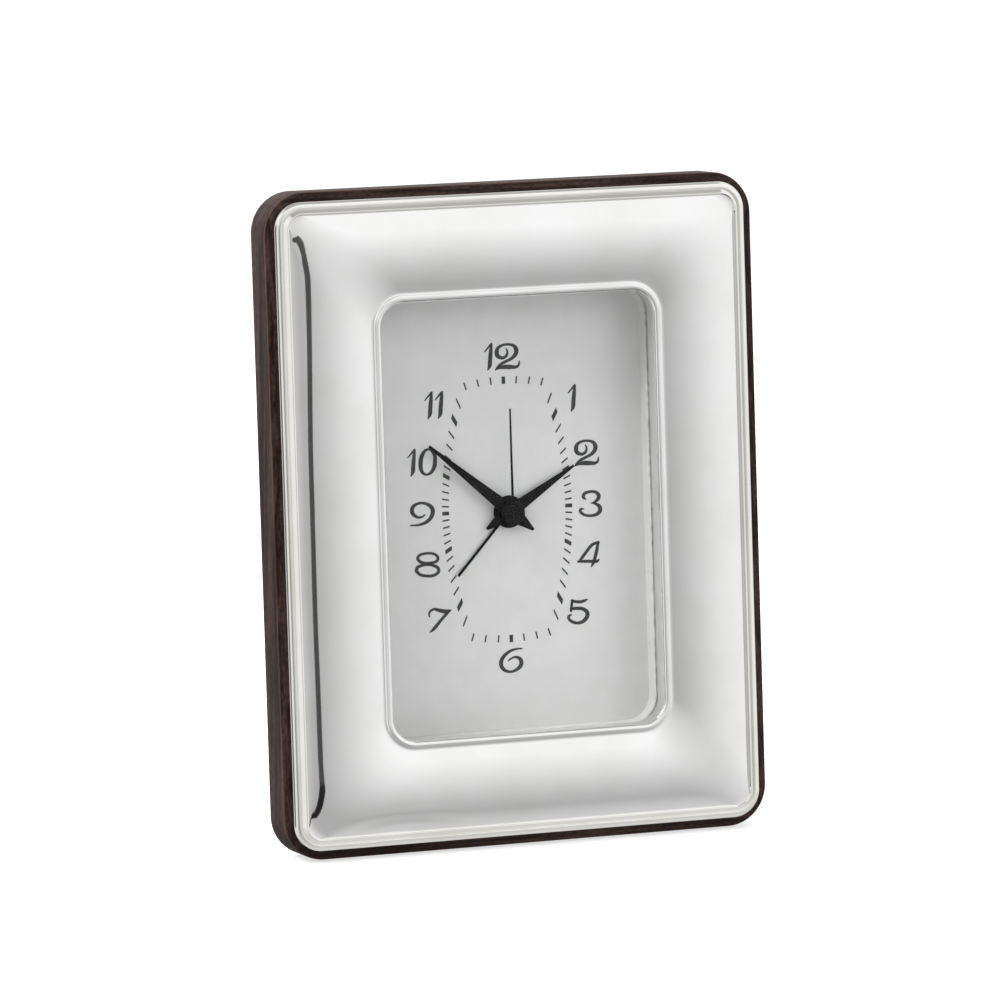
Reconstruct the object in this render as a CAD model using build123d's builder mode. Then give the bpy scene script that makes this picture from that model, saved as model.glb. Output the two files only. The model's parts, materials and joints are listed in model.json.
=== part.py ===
from build123d import *
from math import cos, pi, radians, sin
import os

os.makedirs("parts", exist_ok=True)

# All sizes are in millimetres and degrees. The clock faces -Y, +Z is up, and it leans back
# on a narrow flat along its lower back edge, whose middle is the origin.

# Wooden frame
frame_width = 105.0
frame_height = 135.0
frame_corner = 9.0
front_edge_round = 0.5
back_edge_bevel = 0.3
lean_angle = 5.05
heel_flat = 2.2

# Window and the layers behind it, from the front to the back
window_width = 58.8
window_height = 88.8
window_corner = 6.7
glass_drop = 1.0
glass_thickness = 1.8
hand_room = 4.2
dial_thickness = 0.5
board_thickness = 1.8
glass_lip = 2.0
board_lip = 5.0
spacer_setback = 0.3
seat_slip = 0.1

# Pressed silver front: bead, step, cushion panel and window rim
wood_margin = 1.75
bead_width = 1.5
bead_height = 1.4
bead_round = 0.7
groove_round = 0.3
step_width = 1.55
step_height = 2.05
step_round = 0.9
crease_drop = 0.1
cushion_rise = 2.2
rim_width = 2.0
rim_height = 3.0
rim_round = 0.95
rim_valley = 2.0
sheet = 0.5
cushion_steps = 12

# Hands: clock angles are clockwise from twelve, seen from the front
hand_thickness = 0.25
hand_root_width = 2.9
hand_tip_width = 0.5
hand_tail = 6.1
hand_tail_width = 4.0
collet_round = 2.3
collet_height = 0.6
minute_length = 22.7
minute_angle = 309.8
hour_length = 16.6
hour_angle = 58.5
seconds_length = 21.3
seconds_width = 0.45
seconds_angle = 0.0
seconds_cap_radius = 2.45
seconds_cap_height = 0.9
alarm_length = 16.9
alarm_width = 0.55
alarm_angle = 222.4
alarm_boss_radius = 3.35
alarm_hand_lift = 0.45
hour_hand_lift = 1.15
minute_hand_lift = 2.0
seconds_hand_lift = 2.85

# Coaxial tubes at the middle of the dial
running_clearance = 0.05
seconds_arbor_radius = 0.4
tube_wall = 0.5
bush_wall = 0.75
bush_proud = 0.3

# Movement case, which takes its width from the cell and the room for the contacts
case_height = 56.0
case_corner = 4.0
case_depth = 16.6
case_wall = 1.5
ear_reach = 6.0
ear_width = 9.0
pillar_radius = 1.5
boss_radius = 1.2
pivot_radius = 0.35
pivot_depth = 2.0
setting_arbor_radius = 0.8
socket_depth = 0.7

# Wheels and pinions: tooth counts, modules and the directions of their axes
pinion_leaves = 6
cannon_teeth = 8
motion_teeth = 24
motion_pinion_teeth = 8
hour_teeth = 32
motion_module = 0.6
motion_direction = 20.0
alarm_teeth = 24
alarm_pinion_teeth = 12
alarm_module = 0.6
alarm_direction = 160.0
centre_teeth = 48
centre_module = 0.26
third_teeth = 45
third_direction = 90.0
seconds_teeth = 36
seconds_module = 0.34
intermediate_direction = -35.0
intermediate_teeth = 30
rotor_module = 0.34
rotor_direction = -10.0
magnet_radius = 1.9
wheel_thickness = 0.9
wheel_gap = 0.4
plate_thickness = 1.0

# Tooth forms: addendum and dedendum in modules, widths as shares of the pitch
leaf_form = (0.75, 1.25, 0.20, 0.46)
wheel_form = (0.80, 1.20, 0.20, 0.60)

# Knobs and the alarm slide on the back
knob_radius = 5.0
knob_height = 4.5
knob_gap = 0.5
knob_flutes = 14
flute_radius = 0.5
slide_x = 13.0
slide_y = 18.5
slide_length = 4.0
slide_width = 2.6
slide_travel = 4.0
slide_proud = 1.6
slide_flange = 1.5
slide_slip = 0.15

# Cell and its contacts
cell_radius = 7.25
cell_length = 50.5
nub_radius = 2.75
nub_length = 1.0
cell_slip = 0.15
bay_wall = 0.8
contact_room = 1.25
contact_thickness = 0.4
contact_width = 8.0
contact_slip = 0.05

# Motor, circuit board and buzzer
stator_thickness = 1.0
stator_bar = 6.8
stator_leg = 2.0
stator_left = 8.6
stator_wall_gap = 2.1
air_gap = 0.5
coil_radius = 3.0
coil_y = 5.5
core_width = 2.0
coil_slip = 0.2
circuit_wall_gap = 0.5
circuit_arbor_gap = 2.65
circuit_height = 32.0
circuit_y = 8.0
circuit_thickness = 1.0
circuit_post_edge = 1.75
circuit_post_heights = (-4.0, 20.0)
stator_post_y = -5.2
stator_post_x = 16.5
stator_post_edge = 2.1
buzzer_margin = 0.2
buzzer_height = 5.0
buzzer_y = 15.0

# Screws and clips
screw_radius = 0.9
screw_head_radius = 1.9
screw_head_height = 0.9
board_screw_bite = 1.5
wood_screw_bite = 5.0
clip_length = 9.0
clip_width = 6.0
clip_thickness = 0.5
clip_overlap = 2.6
clip_height = 30.0

# Hinged wing that holds the clock up
wing_thickness = 4.5
wing_reach = 30.0
wing_top = -32.5
wing_top_depth = 13.0
wing_foot_length = 9.0
wing_foot_height = 5.0
wing_root_bottom = -62.0
wing_gap = 0.2
wing_edge_bevel = 0.6
leaf_thickness = 0.8
leaf_width = 10.0
hinge_top = -35.0
hinge_bottom = -51.0
hinge_gap = 0.1
knuckle_radius = 1.4
knuckle_lift = 0.2
pin_radius = 0.6
leaf_screw_radius = 0.7
leaf_screw_head = 1.3
leaf_screw_head_height = 0.45
leaf_screw_bite = 1.4

# Layers along the front normal; zero is the wooden front plane, positive is towards the viewer
frame_thickness = glass_drop + glass_thickness + hand_room + dial_thickness + board_thickness
glass_back = -glass_drop - glass_thickness
dial_front = glass_back - hand_room
board_front = dial_front - dial_thickness
frame_back = -frame_thickness
case_front_inside = frame_back - case_wall
case_back = frame_back - case_depth
case_back_inside = case_back + case_wall
layer_step = wheel_thickness + wheel_gap
alarm_layer = case_front_inside - layer_step
hour_layer = alarm_layer - layer_step
motion_layer = hour_layer - layer_step
plate_back = motion_layer - wheel_gap - plate_thickness
centre_layer = plate_back - layer_step
seconds_layer = centre_layer - layer_step
third_layer = seconds_layer - layer_step
boss_front = third_layer - wheel_gap
arbor_back = boss_front - pivot_depth
arbor_front = plate_back + plate_thickness - running_clearance
knob_front = case_back - knob_gap
knob_seat = knob_front - knob_height / 2
socket_seat = case_front_inside + socket_depth / 2

# Inside and outside of the movement case
case_inside_width = cell_length + 2 * contact_room
case_inside_height = case_height - 2 * case_wall
case_width = case_inside_width + 2 * case_wall

# Outlines round the window, as growth on each side
lip_growth = sheet + seat_slip
glass_growth = lip_growth + glass_lip
board_growth = glass_growth + board_lip
silver_width = frame_width - 2 * wood_margin
silver_height = frame_height - 2 * wood_margin
silver_corner = frame_corner - wood_margin
cushion_inset = bead_width + step_width
cushion_foot = step_height - crease_drop

# Radii of the coaxial tubes
minute_bore = seconds_arbor_radius + running_clearance
minute_radius = minute_bore + tube_wall
hour_bore = minute_radius + running_clearance
hour_radius = hour_bore + tube_wall
alarm_bore = hour_radius + running_clearance
alarm_radius = alarm_bore + tube_wall
bush_bore = alarm_radius + running_clearance
bush_radius = bush_bore + bush_wall
pivot_bore = pivot_radius + running_clearance
setting_bore = setting_arbor_radius + running_clearance
centre_boss_radius = seconds_arbor_radius + boss_radius - pivot_radius

# Axes of the wheels, as places on the face of the clock


def polar(distance, direction, start=(0.0, 0.0)):
    """Place at a distance and direction from a start."""
    angle = radians(direction)
    return (start[0] + distance * cos(angle), start[1] + distance * sin(angle))


motion_distance = motion_module * (cannon_teeth + motion_teeth) / 2
hour_module = 2 * motion_distance / (motion_pinion_teeth + hour_teeth)
alarm_distance = alarm_module * (alarm_pinion_teeth + alarm_teeth) / 2
third_distance = centre_module * (pinion_leaves + centre_teeth) / 2
third_module = 2 * third_distance / (pinion_leaves + third_teeth)
intermediate_distance = seconds_module * (pinion_leaves + seconds_teeth) / 2
rotor_distance = rotor_module * (pinion_leaves + intermediate_teeth) / 2
middle = (0.0, 0.0)
motion_axis = polar(motion_distance, motion_direction)
alarm_axis = polar(alarm_distance, alarm_direction)
third_axis = polar(third_distance, third_direction)
intermediate_axis = polar(intermediate_distance, intermediate_direction)
rotor_axis = polar(rotor_distance, rotor_direction, intermediate_axis)

# Planes. The face plane lies on the wooden front, its local axes run right, up and out.
lean = radians(lean_angle)
face_height = frame_height / 2 * cos(lean) + (frame_thickness - heel_flat) * sin(lean)
face_depth = (
    frame_height / 2 * sin(lean)
    - (frame_thickness - heel_flat) * cos(lean)
    - heel_flat / 2 / cos(lean)
)
FACE = Plane(
    origin=(0, face_depth, face_height),
    x_dir=(1, 0, 0),
    z_dir=(0, -cos(lean), sin(lean)),
)
FRONTWARD = Axis(FACE.origin, FACE.z_dir)


def layer(depth):
    """Plane parallel to the face, at a depth along its normal."""
    return FACE.offset(depth)


def side_plane(x):
    """Plane square to the face whose local axes run backward from the frame's back and up."""
    origin = FACE.from_local_coords(Vector(x, 0, frame_back))
    return Plane(origin=origin, x_dir=-FACE.z_dir, z_dir=FACE.x_dir)


def upward_plane(x, y, behind):
    """Plane square to the frame's own height, at a place behind the frame's back."""
    origin = FACE.from_local_coords(Vector(x, y, frame_back - behind))
    return Plane(origin=origin, x_dir=FACE.x_dir, z_dir=FACE.y_dir)


def across_plane(x, y, depth):
    """Plane square to the clock's width, with local axes up the frame and to the front."""
    origin = FACE.from_local_coords(Vector(x, y, depth))
    return Plane(origin=origin, x_dir=FACE.y_dir, z_dir=FACE.x_dir)


def hand_plane(lift, angle):
    """Plane above the dial whose local y axis points along a hand."""
    turn = radians(angle)
    across = FACE.x_dir * cos(turn) - FACE.y_dir * sin(turn)
    return Plane(origin=layer(dial_front + lift).origin, x_dir=across, z_dir=FACE.z_dir)


# Outlines and simple solids


def window_outline(growth, mode=Mode.ADD):
    """Rounded rectangle round the window, grown on each side."""
    RectangleRounded(
        window_width + 2 * growth,
        window_height + 2 * growth,
        window_corner + growth,
        mode=mode,
    )


def silver_outline(inset, mode=Mode.ADD):
    """Rounded rectangle inside the edge of the silver front."""
    RectangleRounded(
        silver_width - 2 * inset,
        silver_height - 2 * inset,
        silver_corner - inset,
        mode=mode,
    )


def cushion_outline(share):
    """Rounded rectangle between the step, at share 0, and the window rim, at share 1."""
    outer_width = silver_width - 2 * cushion_inset
    outer_height = silver_height - 2 * cushion_inset
    outer_corner = silver_corner - cushion_inset
    inner_width = window_width + 2 * rim_width
    inner_height = window_height + 2 * rim_width
    inner_corner = window_corner + rim_width
    RectangleRounded(
        outer_width + share * (inner_width - outer_width),
        outer_height + share * (inner_height - outer_height),
        outer_corner + share * (inner_corner - outer_corner),
    )


def cushion_height(share):
    """Height of the cushion panel: an arch from the step down to the foot of the rim."""
    arch = 4 * cushion_rise * share * (1 - share)
    return cushion_foot + share * (rim_valley - cushion_foot) + arch


def add_cushion(drop):
    """Slab and arched panel of the silver front, lowered by drop, open at the window."""
    with BuildSketch(FACE) as slab:
        cushion_outline(0)
    extrude(slab.sketch, amount=cushion_foot - drop)
    sections = []
    for step in range(cushion_steps + 1):
        share = step / cushion_steps
        with BuildSketch(layer(cushion_height(share) - drop)) as section:
            cushion_outline(share)
        sections.append(section.sketch.face())
    loft(sections, ruled=True)
    with BuildSketch(FACE) as opening:
        window_outline(rim_width)
    extrude(opening.sketch, amount=cushion_foot + 2 * cushion_rise, mode=Mode.SUBTRACT)


def rod(place, radius, back, front, bore=0.0, mode=Mode.ADD):
    """Round rod or tube along the front normal, from a back depth to a front depth."""
    with BuildSketch(layer(back)) as section:
        with Locations(place):
            Circle(radius)
            if bore > 0:
                Circle(bore, mode=Mode.SUBTRACT)
    extrude(section.sketch, amount=front - back, mode=mode)


def tooth_points(teeth, module, form, turn):
    """Corners of a toothed outline about its own axis; one tooth points along turn."""
    addendum, dedendum, tip_share, root_share = form
    pitch = 2 * pi / teeth
    tip = module * (teeth / 2 + addendum)
    root = module * (teeth / 2 - dedendum)
    corners = ((root, -root_share), (tip, -tip_share), (tip, tip_share), (root, root_share))
    points = []
    for index in range(teeth):
        for radius, share in corners:
            angle = radians(turn) + (index + share / 2) * pitch
            points.append((radius * cos(angle), radius * sin(angle)))
    return points


def gear(place, teeth, module, form, back, turn, bore=0.0):
    """Toothed wheel one wheel thickness deep; a bore of zero makes it solid on its arbor."""
    with BuildSketch(layer(back)) as section:
        with Locations(place):
            Polygon(*tooth_points(teeth, module, form, turn), align=None)
            if bore > 0:
                Circle(bore, mode=Mode.SUBTRACT)
    extrude(section.sketch, amount=wheel_thickness)


def facing_gap(direction, teeth):
    """Turn that puts a gap between two teeth opposite a direction."""
    return direction + 180 + 180 / teeth


def tapered_hand(length):
    """Hand that narrows from its hub to its tip, with a short flared tail."""
    Polygon(
        (-hand_tip_width / 2, length),
        (-hand_root_width / 2, 0),
        (hand_root_width / 2, 0),
        (hand_tip_width / 2, length),
        align=None,
    )
    Polygon(
        (-hand_tail_width / 2, 0),
        (-hand_tip_width / 2, -hand_tail),
        (hand_tip_width / 2, -hand_tail),
        (hand_tail_width / 2, 0),
        align=None,
    )


# Places inside the movement case
stator_right = case_inside_width / 2 - stator_wall_gap
stator_post_places = ((stator_post_x, stator_post_y), (stator_right - stator_post_edge, stator_post_y))
circuit_left = -case_inside_width / 2 + circuit_wall_gap
circuit_right = alarm_axis[0] - setting_arbor_radius - circuit_arbor_gap
circuit_width = circuit_right - circuit_left
circuit_x = (circuit_left + circuit_right) / 2
buzzer_radius = circuit_width / 2 - buzzer_margin
circuit_post_places = (
    (circuit_left + circuit_post_edge, circuit_post_heights[0]),
    (circuit_right - circuit_post_edge, circuit_post_heights[1]),
)

# Places of the screws
clip_edge = window_width / 2 + board_growth
clip_x = clip_edge - clip_overlap + clip_length / 2
clip_screw_x = clip_edge + clip_length / 2 - clip_overlap / 2
clip_places = [(side * clip_x, end * clip_height) for side in (-1, 1) for end in (-1, 1)]
clip_screw_places = [(side * clip_screw_x, end * clip_height) for side in (-1, 1) for end in (-1, 1)]
ear_x = case_width / 2 + ear_reach / 2
ear_places = [(-ear_x, 0), (ear_x, 0)]
hinge_x = -wing_thickness / 2 - knuckle_radius - hinge_gap
hinge_behind = knuckle_radius + knuckle_lift
knuckle_length = (hinge_top - hinge_bottom) / 3
leaf_inner = knuckle_radius + 3 * hinge_gap
leaf_screw_reach = leaf_inner + (leaf_width - leaf_inner) / 2
leaf_screw_heights = (hinge_bottom + knuckle_length / 2, hinge_top - knuckle_length / 2)
board_leaf_screw_places = [(hinge_x - leaf_screw_reach, height) for height in leaf_screw_heights]

# Wooden frame
with BuildPart() as wood_frame:
    with BuildSketch(layer(frame_back)):
        RectangleRounded(frame_width, frame_height, frame_corner)
    extrude(amount=frame_thickness)
    fillet(wood_frame.faces().sort_by(FRONTWARD)[-1].edges(), radius=front_edge_round)
    chamfer(wood_frame.faces().sort_by(FRONTWARD)[0].edges(), length=back_edge_bevel)
    with BuildSketch(FACE):
        window_outline(lip_growth)
    extrude(amount=-frame_thickness, mode=Mode.SUBTRACT)
    with BuildSketch(layer(-glass_drop)):
        window_outline(glass_growth)
    extrude(amount=glass_drop - frame_thickness, mode=Mode.SUBTRACT)
    with BuildSketch(layer(board_front)):
        window_outline(board_growth)
    extrude(amount=-board_thickness, mode=Mode.SUBTRACT)
    with BuildSketch(layer(frame_back)):
        with Locations(*clip_screw_places):
            Circle(screw_radius)
    extrude(amount=wood_screw_bite, mode=Mode.SUBTRACT)
    split(bisect_by=Plane.XY, keep=Keep.TOP)
wood_frame.part.label = "wood_frame"
export_step(wood_frame.part, "parts/wood_frame.step")

# Moulded core under the cushion of the silver front
with BuildPart() as front_core:
    add_cushion(sheet)
front_core.part.label = "front_core"
export_step(front_core.part, "parts/front_core.step")

# Pressed silver front: bead and step at the edge, hollow cushion, rim and flange at the window
with BuildPart() as silver_front:
    with BuildSketch(FACE):
        silver_outline(0)
        silver_outline(bead_width, mode=Mode.SUBTRACT)
    extrude(amount=bead_height)
    bead_top = silver_front.faces().sort_by(FRONTWARD)[-1]
    fillet(bead_top.outer_wire().edges(), radius=bead_round)
    bead_top = silver_front.faces().filter_by(GeomType.PLANE).sort_by(FRONTWARD)[-1]
    fillet(bead_top.inner_wires()[0].edges(), radius=groove_round)
    with BuildSketch(FACE):
        silver_outline(bead_width)
        silver_outline(cushion_inset, mode=Mode.SUBTRACT)
    extrude(amount=step_height)
    step_top = silver_front.faces().filter_by(GeomType.PLANE).sort_by(FRONTWARD)[-1]
    fillet(step_top.outer_wire().edges(), radius=step_round)
    add_cushion(0)
    add(front_core.part, mode=Mode.SUBTRACT)
    with BuildSketch(FACE):
        window_outline(rim_width)
        window_outline(0, mode=Mode.SUBTRACT)
    extrude(amount=rim_height)
    rim_top = silver_front.faces().filter_by(GeomType.PLANE).sort_by(FRONTWARD)[-1]
    fillet(rim_top.edges(), radius=rim_round)
    with BuildSketch(layer(-glass_drop)):
        window_outline(sheet)
        window_outline(0, mode=Mode.SUBTRACT)
    extrude(amount=glass_drop)
silver_front.part.label = "silver_front"
export_step(silver_front.part, "parts/silver_front.step")

# Pane behind the lip of the wooden frame
with BuildPart() as window_glass:
    with BuildSketch(layer(glass_back)):
        window_outline(glass_growth - seat_slip)
    extrude(amount=glass_thickness)
window_glass.part.label = "window_glass"
export_step(window_glass.part, "parts/window_glass.step")

# Spacer that keeps the pane clear of the hands
with BuildPart() as window_spacer:
    with BuildSketch(layer(dial_front)):
        window_outline(glass_growth - seat_slip)
        window_outline(spacer_setback, mode=Mode.SUBTRACT)
    extrude(amount=hand_room)
window_spacer.part.label = "window_spacer"
export_step(window_spacer.part, "parts/window_spacer.step")

# Dial plate with the hole for the bush
with BuildPart() as dial:
    with BuildSketch(layer(board_front)):
        window_outline(glass_growth - seat_slip)
        Circle(bush_radius + seat_slip, mode=Mode.SUBTRACT)
    extrude(amount=dial_thickness)
dial.part.label = "dial"
export_step(dial.part, "parts/dial.step")

# Backing board with the holes for the bush and for the screws that bite into it
with BuildPart() as dial_board:
    with BuildSketch(layer(frame_back)):
        window_outline(board_growth - seat_slip)
        Circle(bush_radius + seat_slip, mode=Mode.SUBTRACT)
    extrude(amount=board_thickness)
    with BuildSketch(layer(frame_back)):
        with Locations(*ear_places):
            Circle(screw_radius)
    extrude(amount=board_screw_bite, mode=Mode.SUBTRACT)
    with BuildSketch(layer(frame_back)):
        with Locations(*board_leaf_screw_places):
            Circle(leaf_screw_radius)
    extrude(amount=leaf_screw_bite, mode=Mode.SUBTRACT)
dial_board.part.label = "dial_board"
export_step(dial_board.part, "parts/dial_board.step")

# Four clips that reach from the wood over the edge of the board
with BuildPart() as board_clips:
    with BuildSketch(layer(frame_back - clip_thickness)):
        with Locations(*clip_places):
            RectangleRounded(clip_length, clip_width, clip_width / 3)
        with Locations(*clip_screw_places):
            Circle(screw_radius, mode=Mode.SUBTRACT)
    extrude(amount=clip_thickness)
board_clips.part.label = "board_clips"
export_step(board_clips.part, "parts/board_clips.step")

# Screws of the clips
with BuildPart() as clip_screws:
    with BuildSketch(layer(frame_back - clip_thickness)):
        with Locations(*clip_screw_places):
            Circle(screw_radius)
    extrude(amount=clip_thickness + wood_screw_bite)
    with BuildSketch(layer(frame_back - clip_thickness)):
        with Locations(*clip_screw_places):
            Circle(screw_head_radius)
    extrude(amount=-screw_head_height, taper=20)
clip_screws.part.label = "clip_screws"
export_step(clip_screws.part, "parts/clip_screws.step")

# Movement case, front half: plate with ears, bush through the dial, pillars for the train plate
pillar_places = ((-5.5, -9.2), (5.5, -9.2), (0.0, 14.0))
with BuildPart() as movement_front:
    with BuildSketch(layer(case_front_inside)):
        RectangleRounded(case_width, case_height, case_corner)
        RectangleRounded(case_width + 2 * ear_reach, ear_width, ear_reach / 2)
        with Locations(*ear_places):
            Circle(screw_radius, mode=Mode.SUBTRACT)
    extrude(amount=case_wall)
    rod(middle, bush_radius, frame_back, dial_front + bush_proud)
    for place in pillar_places:
        rod(place, pillar_radius, plate_back + plate_thickness, case_front_inside)
    rod(middle, bush_bore, case_front_inside, dial_front + bush_proud, mode=Mode.SUBTRACT)
    for place in (motion_axis, alarm_axis):
        socket_bottom = case_front_inside + socket_depth
        rod(place, setting_bore, case_front_inside, socket_bottom, mode=Mode.SUBTRACT)
movement_front.part.label = "movement_front"
export_step(movement_front.part, "parts/movement_front.step")

# Movement case, back half: tray with a bay for the cell, bosses for the pivots and posts
bay_low = -case_inside_height / 2
cell_y = bay_low + cell_slip + cell_radius
bay_high = cell_y + cell_radius + cell_slip
slot_length = slide_length + slide_travel + 2 * slide_slip
with BuildPart() as movement_back:
    with BuildSketch(layer(case_back)):
        RectangleRounded(case_width, case_height, case_corner)
    extrude(amount=case_depth - case_wall)
    chamfer(movement_back.faces().sort_by(FRONTWARD)[0].edges(), length=case_wall / 2)
    with BuildSketch(layer(case_back_inside)):
        RectangleRounded(case_inside_width, case_inside_height, case_corner - case_wall)
    extrude(amount=case_front_inside - case_back_inside, mode=Mode.SUBTRACT)
    with BuildSketch(layer(case_back)):
        with Locations((0, (bay_low + bay_high) / 2)):
            Rectangle(case_inside_width - 2 * contact_thickness, bay_high - bay_low)
    extrude(amount=case_wall, mode=Mode.SUBTRACT)
    with BuildSketch(layer(case_back)):
        with Locations((0, bay_high + bay_wall / 2)):
            Rectangle(case_inside_width, bay_wall)
    extrude(amount=case_front_inside - case_back)
    for place in (third_axis, intermediate_axis, rotor_axis):
        rod(place, boss_radius, case_back_inside, boss_front)
        rod(place, pivot_bore, arbor_back - running_clearance, boss_front, mode=Mode.SUBTRACT)
    rod(middle, centre_boss_radius, case_back_inside, boss_front)
    rod(middle, minute_bore, arbor_back - running_clearance, boss_front, mode=Mode.SUBTRACT)
    for place in (motion_axis, alarm_axis):
        rod(place, setting_bore, case_back, case_back_inside, mode=Mode.SUBTRACT)
    for place in circuit_post_places:
        rod(place, boss_radius, case_back_inside, third_layer)
    for place in stator_post_places:
        rod(place, boss_radius, case_back_inside, seconds_layer)
    with BuildSketch(layer(case_back)):
        with Locations((slide_x + slide_travel / 2, slide_y)):
            Rectangle(slot_length, slide_width + 2 * slide_slip)
    extrude(amount=case_wall, mode=Mode.SUBTRACT)
movement_back.part.label = "movement_back"
export_step(movement_back.part, "parts/movement_back.step")

# Screws that hold the movement's ears on the board
with BuildPart() as movement_screws:
    with BuildSketch(layer(case_front_inside)):
        with Locations(*ear_places):
            Circle(screw_radius)
    extrude(amount=case_wall + board_screw_bite)
    with BuildSketch(layer(case_front_inside)):
        with Locations(*ear_places):
            Circle(screw_head_radius)
    extrude(amount=-screw_head_height, taper=20)
movement_screws.part.label = "movement_screws"
export_step(movement_screws.part, "parts/movement_screws.step")

# Train plate on the pillars, between the motion work and the going train
train_plate_width = 27.0
train_plate_low = -10.7
train_plate_high = 16.0
with BuildPart() as train_plate:
    with BuildSketch(layer(plate_back)):
        with Locations((0, (train_plate_low + train_plate_high) / 2)):
            RectangleRounded(train_plate_width, train_plate_high - train_plate_low, pillar_radius)
        Circle(hour_bore, mode=Mode.SUBTRACT)
        with Locations(motion_axis, alarm_axis):
            Circle(setting_bore, mode=Mode.SUBTRACT)
        with Locations(third_axis, intermediate_axis, rotor_axis):
            Circle(pivot_bore, mode=Mode.SUBTRACT)
    extrude(amount=plate_thickness)
train_plate.part.label = "train_plate"
export_step(train_plate.part, "parts/train_plate.step")

# Minute tube with the cannon pinion
with BuildPart() as minute_pinion:
    minute_tube_front = dial_front + minute_hand_lift + collet_height
    rod(middle, minute_radius, centre_layer, minute_tube_front, minute_bore)
    gear(middle, cannon_teeth, motion_module, leaf_form, motion_layer, motion_direction, minute_bore)
minute_pinion.part.label = "minute_pinion"
export_step(minute_pinion.part, "parts/minute_pinion.step")

# Hour wheel with its tube
with BuildPart() as hour_wheel:
    hour_tube_front = dial_front + hour_hand_lift + collet_height
    rod(middle, hour_radius, hour_layer, hour_tube_front, hour_bore)
    gear(middle, hour_teeth, hour_module, wheel_form, hour_layer, motion_direction, hour_bore)
hour_wheel.part.label = "hour_wheel"
export_step(hour_wheel.part, "parts/hour_wheel.step")

# Motion wheel and pinion on the setting arbor
with BuildPart() as motion_wheel:
    rod(motion_axis, setting_arbor_radius, knob_seat, socket_seat)
    wheel_turn = facing_gap(motion_direction, motion_teeth)
    gear(motion_axis, motion_teeth, motion_module, wheel_form, motion_layer, wheel_turn)
    pinion_turn = facing_gap(motion_direction, motion_pinion_teeth)
    gear(motion_axis, motion_pinion_teeth, hour_module, leaf_form, hour_layer, pinion_turn)
motion_wheel.part.label = "motion_wheel"
export_step(motion_wheel.part, "parts/motion_wheel.step")

# Alarm wheel with its tube
with BuildPart() as alarm_wheel:
    alarm_tube_front = dial_front + alarm_hand_lift + hand_thickness
    rod(middle, alarm_radius, alarm_layer, alarm_tube_front, alarm_bore)
    gear(middle, alarm_teeth, alarm_module, wheel_form, alarm_layer, alarm_direction, alarm_bore)
alarm_wheel.part.label = "alarm_wheel"
export_step(alarm_wheel.part, "parts/alarm_wheel.step")

# Alarm-setting arbor with its pinion
with BuildPart() as alarm_arbor:
    rod(alarm_axis, setting_arbor_radius, knob_seat, socket_seat)
    pinion_turn = facing_gap(alarm_direction, alarm_pinion_teeth)
    gear(alarm_axis, alarm_pinion_teeth, alarm_module, leaf_form, alarm_layer, pinion_turn)
alarm_arbor.part.label = "alarm_arbor"
export_step(alarm_arbor.part, "parts/alarm_arbor.step")

# Fluted knob for setting the time
with BuildPart() as time_knob:
    with BuildSketch(layer(knob_front)):
        with Locations(motion_axis):
            Circle(knob_radius)
            with PolarLocations(knob_radius, knob_flutes):
                RegularPolygon(flute_radius, 4, mode=Mode.SUBTRACT)
    extrude(amount=-knob_height)
    rod(motion_axis, setting_arbor_radius, knob_seat, knob_front, mode=Mode.SUBTRACT)
time_knob.part.label = "time_knob"
export_step(time_knob.part, "parts/time_knob.step")

# Fluted knob for setting the alarm
with BuildPart() as alarm_knob:
    with BuildSketch(layer(knob_front)):
        with Locations(alarm_axis):
            Circle(knob_radius)
            with PolarLocations(knob_radius, knob_flutes):
                RegularPolygon(flute_radius, 4, mode=Mode.SUBTRACT)
    extrude(amount=-knob_height)
    rod(alarm_axis, setting_arbor_radius, knob_seat, knob_front, mode=Mode.SUBTRACT)
alarm_knob.part.label = "alarm_knob"
export_step(alarm_knob.part, "parts/alarm_knob.step")

# Seconds wheel and pinion on the central arbor
with BuildPart() as seconds_wheel:
    seconds_arbor_front = dial_front + seconds_hand_lift + seconds_cap_height / 2
    rod(middle, seconds_arbor_radius, arbor_back, seconds_arbor_front)
    gear(middle, seconds_teeth, seconds_module, wheel_form, seconds_layer, intermediate_direction)
    gear(middle, pinion_leaves, third_module, leaf_form, third_layer, third_direction)
seconds_wheel.part.label = "seconds_wheel"
export_step(seconds_wheel.part, "parts/seconds_wheel.step")

# Third wheel and pinion
with BuildPart() as third_wheel:
    rod(third_axis, pivot_radius, arbor_back, arbor_front)
    wheel_turn = facing_gap(third_direction, third_teeth)
    gear(third_axis, third_teeth, third_module, wheel_form, third_layer, wheel_turn)
    pinion_turn = facing_gap(third_direction, pinion_leaves)
    gear(third_axis, pinion_leaves, centre_module, leaf_form, centre_layer, pinion_turn)
third_wheel.part.label = "third_wheel"
export_step(third_wheel.part, "parts/third_wheel.step")

# Centre wheel, which slips on the minute tube when the hands are set
with BuildPart() as centre_wheel:
    gear(middle, centre_teeth, centre_module, wheel_form, centre_layer, third_direction, hour_bore)
centre_wheel.part.label = "centre_wheel"
export_step(centre_wheel.part, "parts/centre_wheel.step")

# Intermediate wheel and pinion
with BuildPart() as intermediate_wheel:
    rod(intermediate_axis, pivot_radius, arbor_back, arbor_front)
    gear(intermediate_axis, intermediate_teeth, rotor_module, wheel_form, third_layer, rotor_direction)
    pinion_turn = facing_gap(intermediate_direction, pinion_leaves)
    gear(intermediate_axis, pinion_leaves, seconds_module, leaf_form, seconds_layer, pinion_turn)
intermediate_wheel.part.label = "intermediate_wheel"
export_step(intermediate_wheel.part, "parts/intermediate_wheel.step")

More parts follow.
